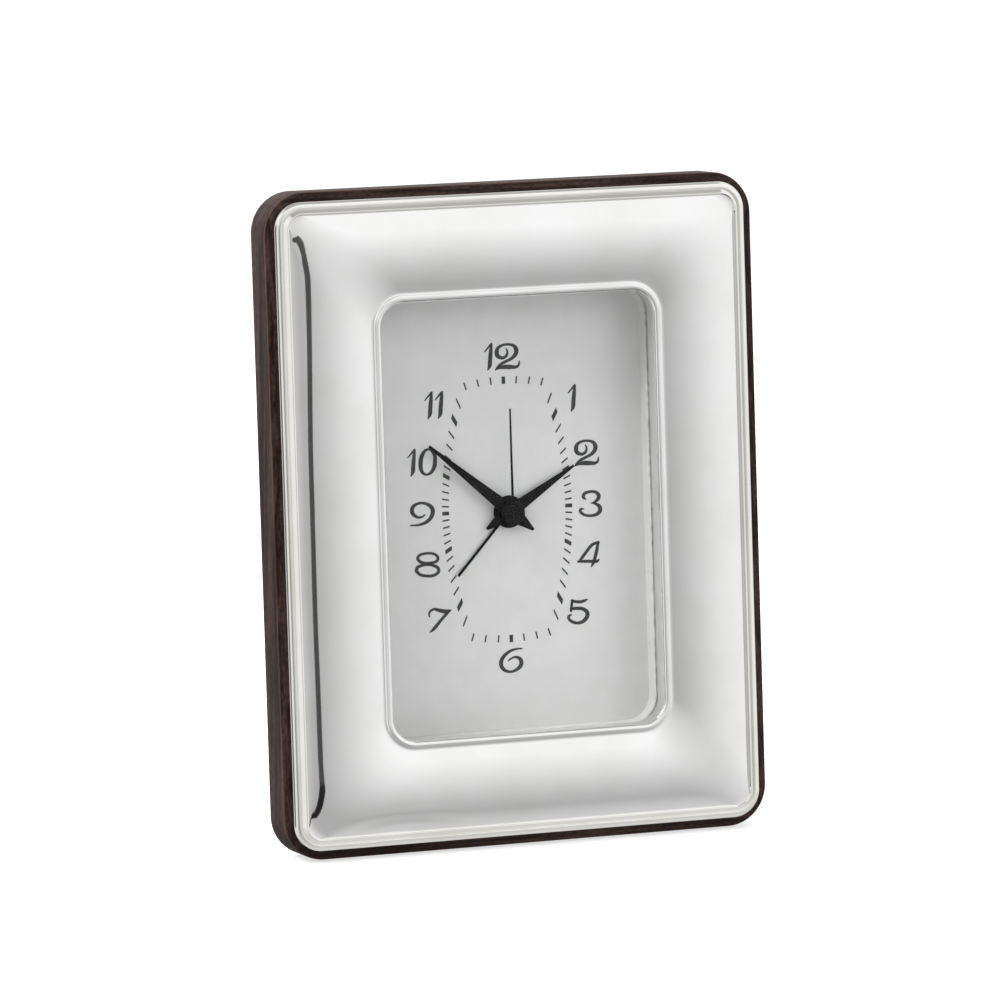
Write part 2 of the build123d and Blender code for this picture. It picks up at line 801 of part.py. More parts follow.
# Rotor of the stepping motor: magnet and pinion
with BuildPart() as rotor:
    rod(rotor_axis, pivot_radius, arbor_back, arbor_front)
    rod(rotor_axis, magnet_radius, seconds_layer, centre_layer + wheel_thickness)
    pinion_turn = facing_gap(rotor_direction, pinion_leaves)
    gear(rotor_axis, pinion_leaves, rotor_module, leaf_form, third_layer, pinion_turn)
rotor.part.label = "rotor"
export_step(rotor.part, "parts/rotor.step")

# Stator: bar round the rotor, two legs, and the core that passes through the coil
stator_low = rotor_axis[1] - stator_bar / 2
stator_high = coil_y + core_width / 2
stator_middle = (stator_left + stator_right) / 2
left_leg_x = rotor_axis[0] + magnet_radius + air_gap
with BuildPart() as stator:
    with BuildSketch(layer(seconds_layer)):
        with Locations((stator_middle, rotor_axis[1])):
            RectangleRounded(stator_right - stator_left, stator_bar, stator_leg / 2)
        with Locations((left_leg_x, rotor_axis[1]), (stator_right - stator_leg, rotor_axis[1])):
            Rectangle(stator_leg, stator_high - rotor_axis[1], align=(Align.MIN, Align.MIN))
        with Locations((left_leg_x, coil_y - core_width / 2)):
            Rectangle(stator_right - left_leg_x, core_width, align=(Align.MIN, Align.MIN))
        with Locations(rotor_axis):
            Circle(magnet_radius + air_gap, mode=Mode.SUBTRACT)
    extrude(amount=stator_thickness)
stator.part.label = "stator"
export_step(stator.part, "parts/stator.step")

# Coil wound round the stator's core
coil_start = left_leg_x + stator_leg + coil_slip
coil_end = stator_right - stator_leg - coil_slip
core_middle = seconds_layer + stator_thickness / 2
with BuildPart() as coil:
    with BuildSketch(across_plane(coil_start, coil_y, core_middle)):
        Circle(coil_radius)
        Rectangle(core_width, stator_thickness, mode=Mode.SUBTRACT)
    extrude(amount=coil_end - coil_start)
coil.part.label = "coil"
export_step(coil.part, "parts/coil.step")

# Circuit board on its posts
with BuildPart() as circuit_board:
    with BuildSketch(layer(third_layer)):
        with Locations((circuit_x, circuit_y)):
            Rectangle(circuit_width, circuit_height)
    extrude(amount=circuit_thickness)
circuit_board.part.label = "circuit_board"
export_step(circuit_board.part, "parts/circuit_board.step")

# Buzzer on the circuit board
with BuildPart() as buzzer:
    rod(
        (circuit_x, buzzer_y),
        buzzer_radius,
        third_layer + circuit_thickness,
        third_layer + circuit_thickness + buzzer_height,
    )
buzzer.part.label = "buzzer"
export_step(buzzer.part, "parts/buzzer.step")

# Cell in its bay, plus end to the right
cell_depth = case_front_inside - cell_slip - cell_radius
with BuildPart() as battery_cell:
    with BuildSketch(across_plane(-cell_length / 2, cell_y, cell_depth)):
        Circle(cell_radius)
    extrude(amount=cell_length - nub_length)
    chamfer(battery_cell.edges().filter_by(GeomType.CIRCLE), length=contact_thickness)
    with BuildSketch(across_plane(cell_length / 2 - nub_length, cell_y, cell_depth)):
        Circle(nub_radius)
    extrude(amount=nub_length)
battery_cell.part.label = "battery_cell"
export_step(battery_cell.part, "parts/battery_cell.step")

# Contact at the plus end: a flat strip with a pressed dimple
with BuildPart() as plus_contact:
    with BuildSketch(across_plane(case_inside_width / 2, cell_y, cell_depth)):
        RectangleRounded(contact_width, contact_width, contact_thickness)
    extrude(amount=-contact_thickness)
    with BuildSketch(across_plane(case_inside_width / 2, cell_y, cell_depth)):
        Circle(nub_radius)
    extrude(amount=-contact_room)
plus_contact.part.label = "plus_contact"
export_step(plus_contact.part, "parts/plus_contact.step")

# Contact at the minus end: a strip bent to a springy tongue
strip_x = -case_inside_width / 2 + contact_thickness / 2 + contact_slip
tongue_x = -cell_length / 2 - contact_thickness / 2 - contact_slip
with BuildPart() as minus_contact:
    with BuildSketch(layer(cell_depth - contact_width / 2)):
        with BuildLine():
            Polyline(
                (strip_x, cell_y + contact_width / 2),
                (strip_x, cell_y - contact_width / 4),
                (tongue_x, cell_y + contact_width / 8),
                (strip_x + contact_thickness * 3 / 2, cell_y + contact_width * 3 / 8),
            )
        trace(line_width=contact_thickness)
    extrude(amount=contact_width)
minus_contact.part.label = "minus_contact"
export_step(minus_contact.part, "parts/minus_contact.step")

# Alarm slide: flange inside the back wall, and a grip through the slot
with BuildPart() as alarm_slide:
    with BuildSketch(layer(case_back_inside + slide_slip)):
        with Locations((slide_x, slide_y)):
            Rectangle(slide_length + 2 * slide_flange, slide_width + 2 * slide_flange)
    extrude(amount=case_wall)
    with BuildSketch(layer(case_back - slide_proud)):
        with Locations((slide_x, slide_y)):
            Rectangle(slide_length, slide_width)
    extrude(amount=slide_proud + case_wall + slide_slip)
alarm_slide.part.label = "alarm_slide"
export_step(alarm_slide.part, "parts/alarm_slide.step")

# Hour hand
with BuildPart() as hour_hand:
    with BuildSketch(hand_plane(hour_hand_lift, hour_angle)):
        tapered_hand(hour_length)
        Circle(collet_round)
        Circle(hour_radius, mode=Mode.SUBTRACT)
    extrude(amount=hand_thickness)
    rod(
        middle,
        collet_round,
        dial_front + hour_hand_lift,
        dial_front + hour_hand_lift + collet_height,
        hour_radius,
    )
hour_hand.part.label = "hour_hand"
export_step(hour_hand.part, "parts/hour_hand.step")

# Minute hand
with BuildPart() as minute_hand:
    with BuildSketch(hand_plane(minute_hand_lift, minute_angle)):
        tapered_hand(minute_length)
        Circle(collet_round)
        Circle(minute_radius, mode=Mode.SUBTRACT)
    extrude(amount=hand_thickness)
    rod(
        middle,
        collet_round,
        dial_front + minute_hand_lift,
        dial_front + minute_hand_lift + collet_height,
        minute_radius,
    )
minute_hand.part.label = "minute_hand"
export_step(minute_hand.part, "parts/minute_hand.step")

# Seconds hand with its cap
with BuildPart() as seconds_hand:
    rod(
        middle,
        seconds_cap_radius,
        dial_front + seconds_hand_lift,
        dial_front + seconds_hand_lift + seconds_cap_height,
    )
    chamfer(seconds_hand.faces().sort_by(FRONTWARD)[-1].edges(), length=seconds_cap_height / 2)
    with BuildSketch(hand_plane(seconds_hand_lift, seconds_angle)):
        Rectangle(seconds_width, seconds_length, align=(Align.CENTER, Align.MIN))
    extrude(amount=hand_thickness)
    rod(
        middle,
        seconds_arbor_radius,
        dial_front + seconds_hand_lift,
        dial_front + seconds_hand_lift + seconds_cap_height / 2,
        mode=Mode.SUBTRACT,
    )
seconds_hand.part.label = "seconds_hand"
export_step(seconds_hand.part, "parts/seconds_hand.step")

# Alarm hand with its round boss
with BuildPart() as alarm_hand:
    with BuildSketch(hand_plane(alarm_hand_lift, alarm_angle)):
        Rectangle(alarm_width, alarm_length, align=(Align.CENTER, Align.MIN))
        Circle(alarm_boss_radius)
        Circle(alarm_radius, mode=Mode.SUBTRACT)
    extrude(amount=hand_thickness)
alarm_hand.part.label = "alarm_hand"
export_step(alarm_hand.part, "parts/alarm_hand.step")

# Hinge leaf on the board, with the upper and the lower knuckle
with BuildPart() as hinge_board_leaf:
    with BuildSketch(layer(frame_back - leaf_thickness)):
        with Locations((hinge_x - leaf_inner, hinge_bottom)):
            Rectangle(leaf_width - leaf_inner, hinge_top - hinge_bottom, align=(Align.MAX, Align.MIN))
        for foot in (hinge_bottom, hinge_top - knuckle_length + hinge_gap):
            with Locations((hinge_x, foot)):
                Rectangle(leaf_inner, knuckle_length - hinge_gap, align=(Align.MAX, Align.MIN))
        with Locations(*board_leaf_screw_places):
            Circle(leaf_screw_radius, mode=Mode.SUBTRACT)
    extrude(amount=leaf_thickness)
    for foot in (hinge_bottom, hinge_top - knuckle_length + hinge_gap):
        with BuildSketch(upward_plane(hinge_x, foot, hinge_behind)):
            Circle(knuckle_radius)
        extrude(amount=knuckle_length - hinge_gap)
    with BuildSketch(upward_plane(hinge_x, hinge_bottom, hinge_behind)):
        Circle(pin_radius)
    extrude(amount=hinge_top - hinge_bottom, mode=Mode.SUBTRACT)
hinge_board_leaf.part.label = "hinge_board_leaf"
export_step(hinge_board_leaf.part, "parts/hinge_board_leaf.step")

# Hinge pin
with BuildPart() as hinge_pin:
    with BuildSketch(upward_plane(hinge_x, hinge_bottom, hinge_behind)):
        Circle(pin_radius)
    extrude(amount=hinge_top - hinge_bottom)
hinge_pin.part.label = "hinge_pin"
export_step(hinge_pin.part, "parts/hinge_pin.step")

# Screws of the leaf on the board
with BuildPart() as board_leaf_screws:
    with BuildSketch(layer(frame_back - leaf_thickness)):
        with Locations(*board_leaf_screw_places):
            Circle(leaf_screw_radius)
    extrude(amount=leaf_thickness + leaf_screw_bite)
    with BuildSketch(layer(frame_back - leaf_thickness)):
        with Locations(*board_leaf_screw_places):
            Circle(leaf_screw_head)
    extrude(amount=-leaf_screw_head_height, taper=25)
board_leaf_screws.part.label = "board_leaf_screws"
export_step(board_leaf_screws.part, "parts/board_leaf_screws.step")

# Hinge leaf on the wing, with the middle knuckle
wing_side = -wing_thickness / 2
leaf_start = hinge_behind + leaf_inner
leaf_end = hinge_behind + leaf_width
middle_foot = hinge_bottom + knuckle_length
wing_leaf_screw_places = [(hinge_behind + leaf_screw_reach, height) for height in leaf_screw_heights]
with BuildPart() as hinge_wing_leaf:
    with BuildSketch(side_plane(wing_side)):
        with Locations((leaf_start, hinge_bottom)):
            Rectangle(leaf_end - leaf_start, hinge_top - hinge_bottom, align=(Align.MIN, Align.MIN))
        with Locations((hinge_behind, middle_foot)):
            Rectangle(leaf_inner, knuckle_length, align=(Align.MIN, Align.MIN))
        with Locations(*wing_leaf_screw_places):
            Circle(leaf_screw_radius, mode=Mode.SUBTRACT)
    extrude(amount=-leaf_thickness)
    with BuildSketch(upward_plane(hinge_x, middle_foot, hinge_behind)):
        Circle(knuckle_radius)
    extrude(amount=knuckle_length)
    with BuildSketch(upward_plane(hinge_x, middle_foot, hinge_behind)):
        Circle(pin_radius + running_clearance)
    extrude(amount=knuckle_length, mode=Mode.SUBTRACT)
hinge_wing_leaf.part.label = "hinge_wing_leaf"
export_step(hinge_wing_leaf.part, "parts/hinge_wing_leaf.step")

# Wooden wing: curved back edge, arched lower edge, foot cut level with the ground
wing_bottom = -frame_height / 2 - wing_foot_height
with BuildPart() as strut_wing:
    with BuildSketch(side_plane(wing_side)):
        with BuildLine():
            Line((wing_gap, wing_root_bottom), (wing_gap, wing_top))
            Line((wing_gap, wing_top), (wing_top_depth, wing_top))
            back_corner = (wing_reach, -frame_height / 2 + wing_foot_height)
            RadiusArc((wing_top_depth, wing_top), back_corner, -wing_reach * 2)
            Line(back_corner, (wing_reach, wing_bottom))
            Line((wing_reach, wing_bottom), (wing_reach - wing_foot_length, wing_bottom))
            heel_corner = (wing_reach - wing_foot_length, -frame_height / 2 + wing_foot_height / 2)
            Line((wing_reach - wing_foot_length, wing_bottom), heel_corner)
            RadiusArc(heel_corner, (wing_gap, wing_root_bottom), -wing_reach)
        make_face()
    extrude(amount=wing_thickness)
    long_edges = strut_wing.edges().filter_by(GeomType.CIRCLE)
    chamfer(long_edges, length=wing_edge_bevel)
    with BuildSketch(side_plane(wing_side)):
        with Locations(*wing_leaf_screw_places):
            Circle(leaf_screw_radius)
    extrude(amount=leaf_screw_bite, mode=Mode.SUBTRACT)
    split(bisect_by=Plane.XY, keep=Keep.TOP)
strut_wing.part.label = "strut_wing"
export_step(strut_wing.part, "parts/strut_wing.step")

# Screws of the leaf on the wing
with BuildPart() as wing_leaf_screws:
    with BuildSketch(side_plane(wing_side - leaf_thickness)):
        with Locations(*wing_leaf_screw_places):
            Circle(leaf_screw_radius)
    extrude(amount=leaf_thickness + leaf_screw_bite)
    with BuildSketch(side_plane(wing_side - leaf_thickness)):
        with Locations(*wing_leaf_screw_places):
            Circle(leaf_screw_head)
    extrude(amount=-leaf_screw_head_height, taper=25)
wing_leaf_screws.part.label = "wing_leaf_screws"
export_step(wing_leaf_screws.part, "parts/wing_leaf_screws.step")
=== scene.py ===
# %% [markdown]
# # A table clock in a silver photo frame
#
# The clock is a dark wooden frame with a pressed silver front. Behind a pane lies a pale dial with
# printed numerals and four black hands. A quartz movement hangs on the back, and a hinged wooden
# wing holds the clock up. The solid model comes first and stays as it is. Everything below dresses
# it: fine skins where the eye is close, and a finish for every piece.

# %% Load the solid model
import json
from math import copysign, cos, exp, pi, radians, sin, sqrt

import bmesh
import bpy
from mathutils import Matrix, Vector


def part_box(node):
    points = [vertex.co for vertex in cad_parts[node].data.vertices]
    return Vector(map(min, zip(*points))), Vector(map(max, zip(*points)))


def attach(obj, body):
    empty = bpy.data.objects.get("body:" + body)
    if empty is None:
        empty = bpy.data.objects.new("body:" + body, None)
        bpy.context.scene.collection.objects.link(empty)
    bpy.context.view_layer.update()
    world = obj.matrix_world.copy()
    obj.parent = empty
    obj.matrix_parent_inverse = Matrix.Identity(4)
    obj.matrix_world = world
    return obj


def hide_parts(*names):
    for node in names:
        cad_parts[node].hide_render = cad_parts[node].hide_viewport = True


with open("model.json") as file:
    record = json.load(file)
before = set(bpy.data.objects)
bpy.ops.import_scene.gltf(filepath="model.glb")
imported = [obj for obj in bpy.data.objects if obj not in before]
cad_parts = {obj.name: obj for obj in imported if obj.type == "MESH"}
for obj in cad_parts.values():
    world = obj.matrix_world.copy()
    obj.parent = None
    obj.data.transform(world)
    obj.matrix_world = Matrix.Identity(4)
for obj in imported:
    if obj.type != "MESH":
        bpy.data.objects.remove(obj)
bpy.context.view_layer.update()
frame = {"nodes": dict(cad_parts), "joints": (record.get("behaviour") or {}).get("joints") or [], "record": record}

# %% [markdown]
# ## Axes of the leaning face
#
# The clock leans back a little, so it is easiest to think in the face's own directions: right, up
# and out to the viewer, in millimetres. The joints know these directions. The hands turn about the
# front normal, and the wing swings about a line up the face. The dial is a symmetric plate, so the
# middle of its box gives the middle of the face.

# %% Face axes
MM = 0.001
joints = {joint["name"]: joint for joint in frame["joints"]}
RIGHT = Vector((1.0, 0.0, 0.0))
FRONT = -Vector(joints["minute_turn"]["axis"])
UP = Vector(joints["wing_fold"]["axis"])

dial_front = -7.0
dial_thickness = 0.5
dial_low, dial_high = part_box("dial")
FACE = (dial_low + dial_high) / 2 - FRONT * (dial_front - dial_thickness / 2) * MM


def spot(x, y, depth):
    """Point of the clock from face millimetres: right, up, and out from the wooden front."""
    return FACE + (RIGHT * x + UP * y + FRONT * depth) * MM


print("face middle:", [round(value / MM, 3) for value in FACE])

# %% [markdown]
# ## Camera
#
# The view is a product view from the left and a little above, with a long lens. Long lenses keep
# the sides of the frame almost parallel. The camera aims at a point beside the middle of the face,
# because the clock stands a little right of and below the middle of the picture.

# %% Camera
view_turn = radians(20.40)
view_rise = radians(10.16)
view_distance = 1.4755
sensor_width = 36.0
focal_share = 7.258
nearest_view = 0.05
aim_left = 4.0
aim_up = 2.86


def direction(turn, rise):
    """Direction from the clock, turned to the right of its front and raised."""
    return Vector((sin(turn) * cos(rise), -cos(turn) * cos(rise), sin(rise)))


to_camera = direction(-view_turn, view_rise)
picture_right = Vector((cos(view_turn), -sin(view_turn), 0.0))
picture_up = to_camera.cross(picture_right)
aim = FACE + (picture_up * aim_up - picture_right * aim_left) * MM

camera_data = bpy.data.cameras.new("camera")
camera_data.sensor_width = sensor_width
camera_data.lens = sensor_width * focal_share
camera_data.clip_start = nearest_view
camera = bpy.data.objects.new("camera", camera_data)
camera.location = aim + to_camera * view_distance
camera.rotation_euler = to_camera.to_track_quat("Z", "Y").to_euler()
bpy.context.collection.objects.link(camera)
bpy.context.scene.camera = camera
bpy.context.scene.view_settings.view_transform = "Standard"
print("lens:", round(camera_data.lens, 1), "mm")

# %% [markdown]
# ## Nodes
#
# The room and every finish are built from shader nodes. A few helpers keep that short. A socket is
# filled with a value or with the output of another node, and most helpers return such an output.

# %% Node helpers


def feed(tree, node, sockets):
    """Fill a node's sockets: a value is set, and an output of another node is linked."""
    for key, value in sockets.items():
        if isinstance(value, bpy.types.NodeSocket):
            tree.links.new(value, node.inputs[key])
        else:
            node.inputs[key].default_value = value


def add_node(tree, kind, sockets, **settings):
    """New shader node with its settings made and its sockets filled."""
    node = tree.nodes.new("ShaderNode" + kind)
    for key, value in settings.items():
        setattr(node, key, value)
    feed(tree, node, sockets)
    return node


def maths(tree, operation, *values):
    """Result of a sum or a product of outputs and numbers."""
    return add_node(tree, "Math", dict(enumerate(values)), operation=operation).outputs[0]


def spread(tree, value, start, full, low=0.0, high=1.0, curve="LINEAR"):
    """Value that runs from low at start to high at full, and stays level beyond them."""
    sockets = {"Value": value, "From Min": start, "From Max": full, "To Min": low, "To Max": high}
    return add_node(tree, "MapRange", sockets, interpolation_type=curve).outputs[0]


def axes_of(tree, vector):
    """The three parts of a vector, by the names of the axes."""
    return add_node(tree, "SeparateXYZ", {"Vector": vector}).outputs


def coordinates(tree):
    """The coordinates that a surface or the room offers, by name."""
    return add_node(tree, "TexCoord", {}).outputs


def is_ray(tree, kind):
    """One for rays of that kind, and nought for the others."""
    return add_node(tree, "LightPath", {}).outputs["Is " + kind + " Ray"]


def new_material(name):
    """Material with its node tree and its main shader."""
    material = bpy.data.materials.new(name)
    material.use_nodes = True
    tree = material.node_tree
    return material, tree, tree.nodes["Principled BSDF"]


def choose_surface(tree, factor, first, second):
    """Let a factor choose between two shaders for the surface."""
    choice = add_node(tree, "MixShader", {"Fac": factor, 1: first, 2: second})
    feed(tree, tree.nodes["Material Output"], {"Surface": choice.outputs[0]})


print("node helpers ready")

# %% [markdown]
# ## Room
#
# Polished silver has hardly a colour of its own: it shows the room. So the room is made first. It
# is bright above and to the right, and greyer to the left and below, which is what the four sides
# of the cushion mirror. Brighter and darker stretches are added to that. Each one lies along an
# axis, begins at one place on it and is full at another. To the camera the room is plain white.

# %% Room
room_level = 0.62
room_right = 0.32
room_up = 0.46
room_darkest = 0.44
room_brightest = 0.98
room_glows = (
    ("X", -0.50, -0.85, 0.42),
    ("X", -0.93, -0.985, -0.70),
    ("Z", 0.82, 0.92, -0.52),
    ("Z", -0.80, -0.93, -0.38),
    ("Y", 0.00, 0.40, -0.16),
    ("Y", 0.93, 0.99, 0.50),
)

world = bpy.data.worlds.new("studio")
bpy.context.scene.world = world
world.use_nodes = True
tree = world.node_tree
way = axes_of(tree, coordinates(tree)["Generated"])
upward = maths(tree, "MULTIPLY_ADD", way["Z"], room_up, room_level)
sideways = maths(tree, "MULTIPLY_ADD", way["X"], room_right, upward)
limits = {"Value": sideways, "Min": room_darkest, "Max": room_brightest}
room = add_node(tree, "Clamp", limits).outputs[0]
for axis, start, full, amount in room_glows:
    room = maths(tree, "ADD", room, spread(tree, way[axis], start, full, 0.0, amount, "SMOOTHSTEP"))
shown = {"Factor": is_ray(tree, "Camera"), "A": room, "B": 1.0}
level = add_node(tree, "Mix", shown, data_type="FLOAT").outputs["Result"]
feed(tree, tree.nodes["Background"], {"Color": level})
print("room level:", room_darkest, "to", room_brightest)

# %% [markdown]
# ## Floor
#
# The floor is pale and dull, and keeps the clock's soft shadow. A little glow that only the camera
# sees lifts it to white. The silver does not mirror the floor. It mirrors the room, and the two
# cards that come next.

# %% Floor
floor_reach = 4.0
floor_tone = 0.52
floor_dullness = 0.9
floor_glow = 0.66


def stage_sheet(name, corners, material):
    """Flat sheet of the studio through its corners."""
    mesh = bpy.data.meshes.new(name)
    mesh.from_pydata(corners, [], [tuple(range(len(corners)))])
    mesh.materials.append(material)
    sheet = bpy.data.objects.new(name, mesh)
    bpy.context.collection.objects.link(sheet)
    return sheet


def dull_paint(tree, shader, tone, roughness):
    """Grey paint without any gloss."""
    colour = (tone, tone, tone, 1.0)
    feed(tree, shader, {"Base Color": colour, "Roughness": roughness, "Specular IOR Level": 0.0})


floor_paint, tree, shader = new_material("floor_paint")
glow = maths(tree, "MULTIPLY", is_ray(tree, "Camera"), floor_glow)
dull_paint(tree, shader, floor_tone, floor_dullness)
feed(tree, shader, {"Emission Color": (1.0, 1.0, 1.0, 1.0), "Emission Strength": glow})
square = ((-1, -1), (1, -1), (1, 1), (-1, 1))
floor = stage_sheet("floor", [(x * floor_reach, y * floor_reach, 0.0) for x, y in square], floor_paint)
floor.visible_glossy = False
print("floor:", 2 * floor_reach, "m wide")

# %% [markdown]
# ## Cards
#
# Two cards are seen in reflections alone. A tall dark strip to the left, in front of the clock, draws
# the thin dark line down the left panel of the silver. Row by row it is given by its height, its
# middle and its width, and it bends at both ends as the line does.

# %% Dark card
card_out = 223.0
card_tone = 0.05
card_dullness = 1.0
card_strip = (
    (-148.0, -96.0, 8.0),
    (-130.0, -108.0, 22.0),
    (-115.0, -120.0, 34.0),
    (-99.0, -131.0, 40.0),
    (-80.0, -152.0, 30.0),
    (-45.0, -156.0, 28.0),
    (-5.0, -151.0, 28.0),
    (20.0, -137.0, 28.0),
    (33.0, -134.0, 32.0),
    (45.0, -131.0, 38.0),
    (62.0, -118.0, 26.0),
    (80.0, -106.0, 21.0),
    (102.0, -90.0, 18.0),
)


def only_mirrored(sheet):
    """Hide a sheet from all rays but those that a mirror sends."""
    for ray in ("camera", "diffuse", "shadow", "transmission"):
        setattr(sheet, "visible_" + ray, False)


card_black, tree, shader = new_material("card_black")
dull_paint(tree, shader, card_tone, card_dullness)
left_edge = [spot(x - width / 2, y, card_out) for y, x, width in card_strip]
right_edge = [spot(x + width / 2, y, card_out) for y, x, width in card_strip]
only_mirrored(stage_sheet("dark_card", right_edge + left_edge[::-1], card_black))
print("dark card:", card_strip[-1][0] - card_strip[0][0], "mm tall")

# %% [markdown]
# A white card lies on the table under the front edge. The moulding at the bottom mirrors it in
# place of the grey lower part of the room. It fades out towards the viewer, so it has no hard end.

# %% White card
table_card_glow = 0.68
table_half_width = 90.0
table_front = -23.0
table_back = -8.0
table_lift = 0.1
fade_start = -22.0
fade_full = -9.0

card_white, tree, shader = new_material("card_white")
toward_back = axes_of(tree, coordinates(tree)["Object"])["Y"]
fade = spread(tree, toward_back, fade_start * MM, fade_full * MM, curve="SMOOTHSTEP")
shine = add_node(tree, "Emission", {"Strength": table_card_glow})
clear = add_node(tree, "BsdfTransparent", {})
choose_surface(tree, fade, clear.outputs[0], shine.outputs[0])
near_corners = [(-table_half_width, table_front), (table_half_width, table_front)]
far_corners = [(table_half_width, table_back), (-table_half_width, table_back)]
table_corners = [(x * MM, y * MM, table_lift * MM) for x, y in near_corners + far_corners]
only_mirrored(stage_sheet("table_card", table_corners, card_white))
print("white card:", table_back - table_front, "mm deep")

# %% [markdown]
# ## Lamps
#
# Three large soft lamps light what is no mirror: the dial, the wood and the back. Reflections do not
# show them, so they leave no white patches on the silver. Each lamp has a turn to the right and a
# rise in degrees, a distance and a size in metres, and a power in watts.

# %% Lamps
LAMPS = (
    ("key", 40, 18, 0.9, 0.62, 1.0),
    ("left_fill", -98, 48, 0.7, 0.50, 7.4),
    ("back_fill", 155, 42, 0.8, 0.60, 3.0),
)

for name, turn, rise, distance, size, power in LAMPS:
    lamp_data = bpy.data.lights.new(name, "AREA")
    lamp_data.size = size
    lamp_data.energy = power
    lamp = bpy.data.objects.new(name, lamp_data)
    to_lamp = direction(radians(turn), radians(rise))
    lamp.location = FACE + to_lamp * distance
    lamp.rotation_euler = to_lamp.to_track_quat("Z", "Y").to_euler()
    lamp.visible_glossy = False
    bpy.context.collection.objects.link(lamp)
    print("lamp:", name, power, "W")

# %% [markdown]
# ## Silver
#
# Silver that is polished by hand is close to a mirror, but never a perfect one. Slow swells from
# pressing bend the reflections a little, and a haze of fine wiping marks softens them. Both are
# bumps, far too low to change the shape. The moulding at the edge is a little warmer than the
# panels, and the piece's own map tells how far a place is from the edge.

# %% Finish helpers


def noise(tree, vector, scale, detail, stretch=None, distortion=0.0):
    """Cloudy noise, on coordinates that may be stretched first."""
    if stretch is not None:
        vector = add_node(tree, "Mapping", {"Vector": vector, "Scale": stretch}).outputs[0]
    sockets = {"Vector": vector, "Scale": scale, "Detail": detail, "Distortion": distortion}
    return add_node(tree, "TexNoise", sockets).outputs[0]


def ramp(tree, value, low, dark, high, light):
    """Colour that runs from one at a low value to another at a high value."""
    node = add_node(tree, "ValToRGB", {"Fac": value})
    for element, place, colour in zip(node.color_ramp.elements, (low, high), (dark, light)):
        element.position = place
        element.color = (*colour, 1.0)
    return node.outputs["Color"]


def mix(tree, factor, first, second, blend="MIX"):
    """Colour between two colours, or their product."""
    sockets = {"Factor": factor, "A": first, "B": second}
    return add_node(tree, "Mix", sockets, data_type="RGBA", blend_type=blend).outputs["Result"]


def stack_bumps(tree, shader, *layers):
    """Bumps on top of each other: each layer is a pattern, a strength and a height in metres."""
    below = {}
    for pattern, strength, height in layers:
        sockets = {"Height": pattern, "Strength": strength, "Distance": height, **below}
        below = {"Normal": add_node(tree, "Bump", sockets).outputs["Normal"]}
    feed(tree, shader, below)


print("finish helpers ready")

# %% Silver finish
moulding_run = 4.4 * MM
moulding_fade = 0.4 * MM
moulding_tint = (0.995, 0.985, 0.955, 1.0)


def silver_finish():
    """Polished silver with slow swells, a wiping haze and faint tarnish."""
    material, tree, shader = new_material("polished_silver")
    place = coordinates(tree)
    swells = noise(tree, place["Object"], 45.0, 1.0)
    haze = noise(tree, place["Object"], 1.0, 4.0, (900.0, 900.0, 260.0))
    tarnish = noise(tree, place["Object"], 70.0, 5.0)
    tone = ramp(tree, tarnish, 0.30, (0.90, 0.90, 0.885), 0.62, (0.955, 0.955, 0.955))
    from_edge = axes_of(tree, place["UV"])["Y"]
    moulding = spread(tree, from_edge, moulding_run + moulding_fade, moulding_run)
    colour = mix(tree, moulding, tone, moulding_tint, "MULTIPLY")
    gloss = spread(tree, haze, 0.0, 1.0, 0.03, 0.07)
    feed(tree, shader, {"Metallic": 1.0, "Base Color": colour, "Roughness": gloss})
    stack_bumps(tree, shader, (swells, 0.35, 0.00012), (haze, 0.03, 0.00002))
    return material


FINISHES = {"silver": silver_finish()}
print("finish:", FINISHES["silver"].name)

# %% [markdown]
# ## Stained wood
#
# The frame and the wing are a close-grained hardwood, stained dark and rubbed with satin lacquer.
# Grain runs along each rail and meets at the mitres, so there is one wood for the upright rails and
# one for the level ones. The wing has a third, without the painted edge highlight. Streaks and
# pores follow the grain. A paler line is painted along the front edge as a highlight, where the
# edge catches the light. The rail's own map tells how far a place is from that edge.

# %% Wood finish
front_edge_place = 8.85 * MM
# How far the painted highlight along the front edge reaches, where it is full, and its colour.
highlight_reach = 0.32 * MM
highlight_middle = 0.06 * MM
highlight_colour = (0.12, 0.066, 0.050, 1.0)


def wood_finish(name, along, across, highlight_place=None):
    """Dark stained hardwood with grain along one direction; the last argument is the place of a painted edge
    highlight.
    """
    material, tree, shader = new_material(name)
    place = coordinates(tree)
    streaks = noise(tree, place["Object"], 1.0, 6.0, along * 45.0 + across * 1500.0, 0.4)
    bands = noise(tree, place["Object"], 1.0, 3.0, along * 18.0 + across * 260.0)
    pores = noise(tree, place["Object"], 1.0, 2.0, along * 900.0 + across * 2600.0)
    figure = maths(tree, "MULTIPLY_ADD", streaks, 0.6, maths(tree, "MULTIPLY", bands, 0.4))
    stain = ramp(tree, figure, 0.43, (0.0155, 0.0079, 0.0063), 0.58, (0.058, 0.0340, 0.0293))
    pits = ramp(tree, pores, 0.38, (0.55, 0.52, 0.52), 0.56, (1.0, 1.0, 1.0))
    colour = mix(tree, 1.0, stain, pits, "MULTIPLY")
    # Painted highlight: a paler line along the front edge, where the edge catches the light.
    if highlight_place:
        gap = maths(tree, "ABSOLUTE", maths(tree, "SUBTRACT", axes_of(tree, place["UV"])["Y"], highlight_place))
        painted_highlight = maths(tree, "MULTIPLY", spread(tree, gap, highlight_reach, highlight_middle), bands)
        colour = mix(tree, painted_highlight, colour, highlight_colour)
    satin = spread(tree, streaks, 0.0, 1.0, 0.34, 0.55)
    feed(tree, shader, {"Base Color": colour, "Roughness": satin, "Specular IOR Level": 0.10})
    stack_bumps(tree, shader, (streaks, 0.12, 0.00006), (pores, 0.10, 0.00004))
    return material


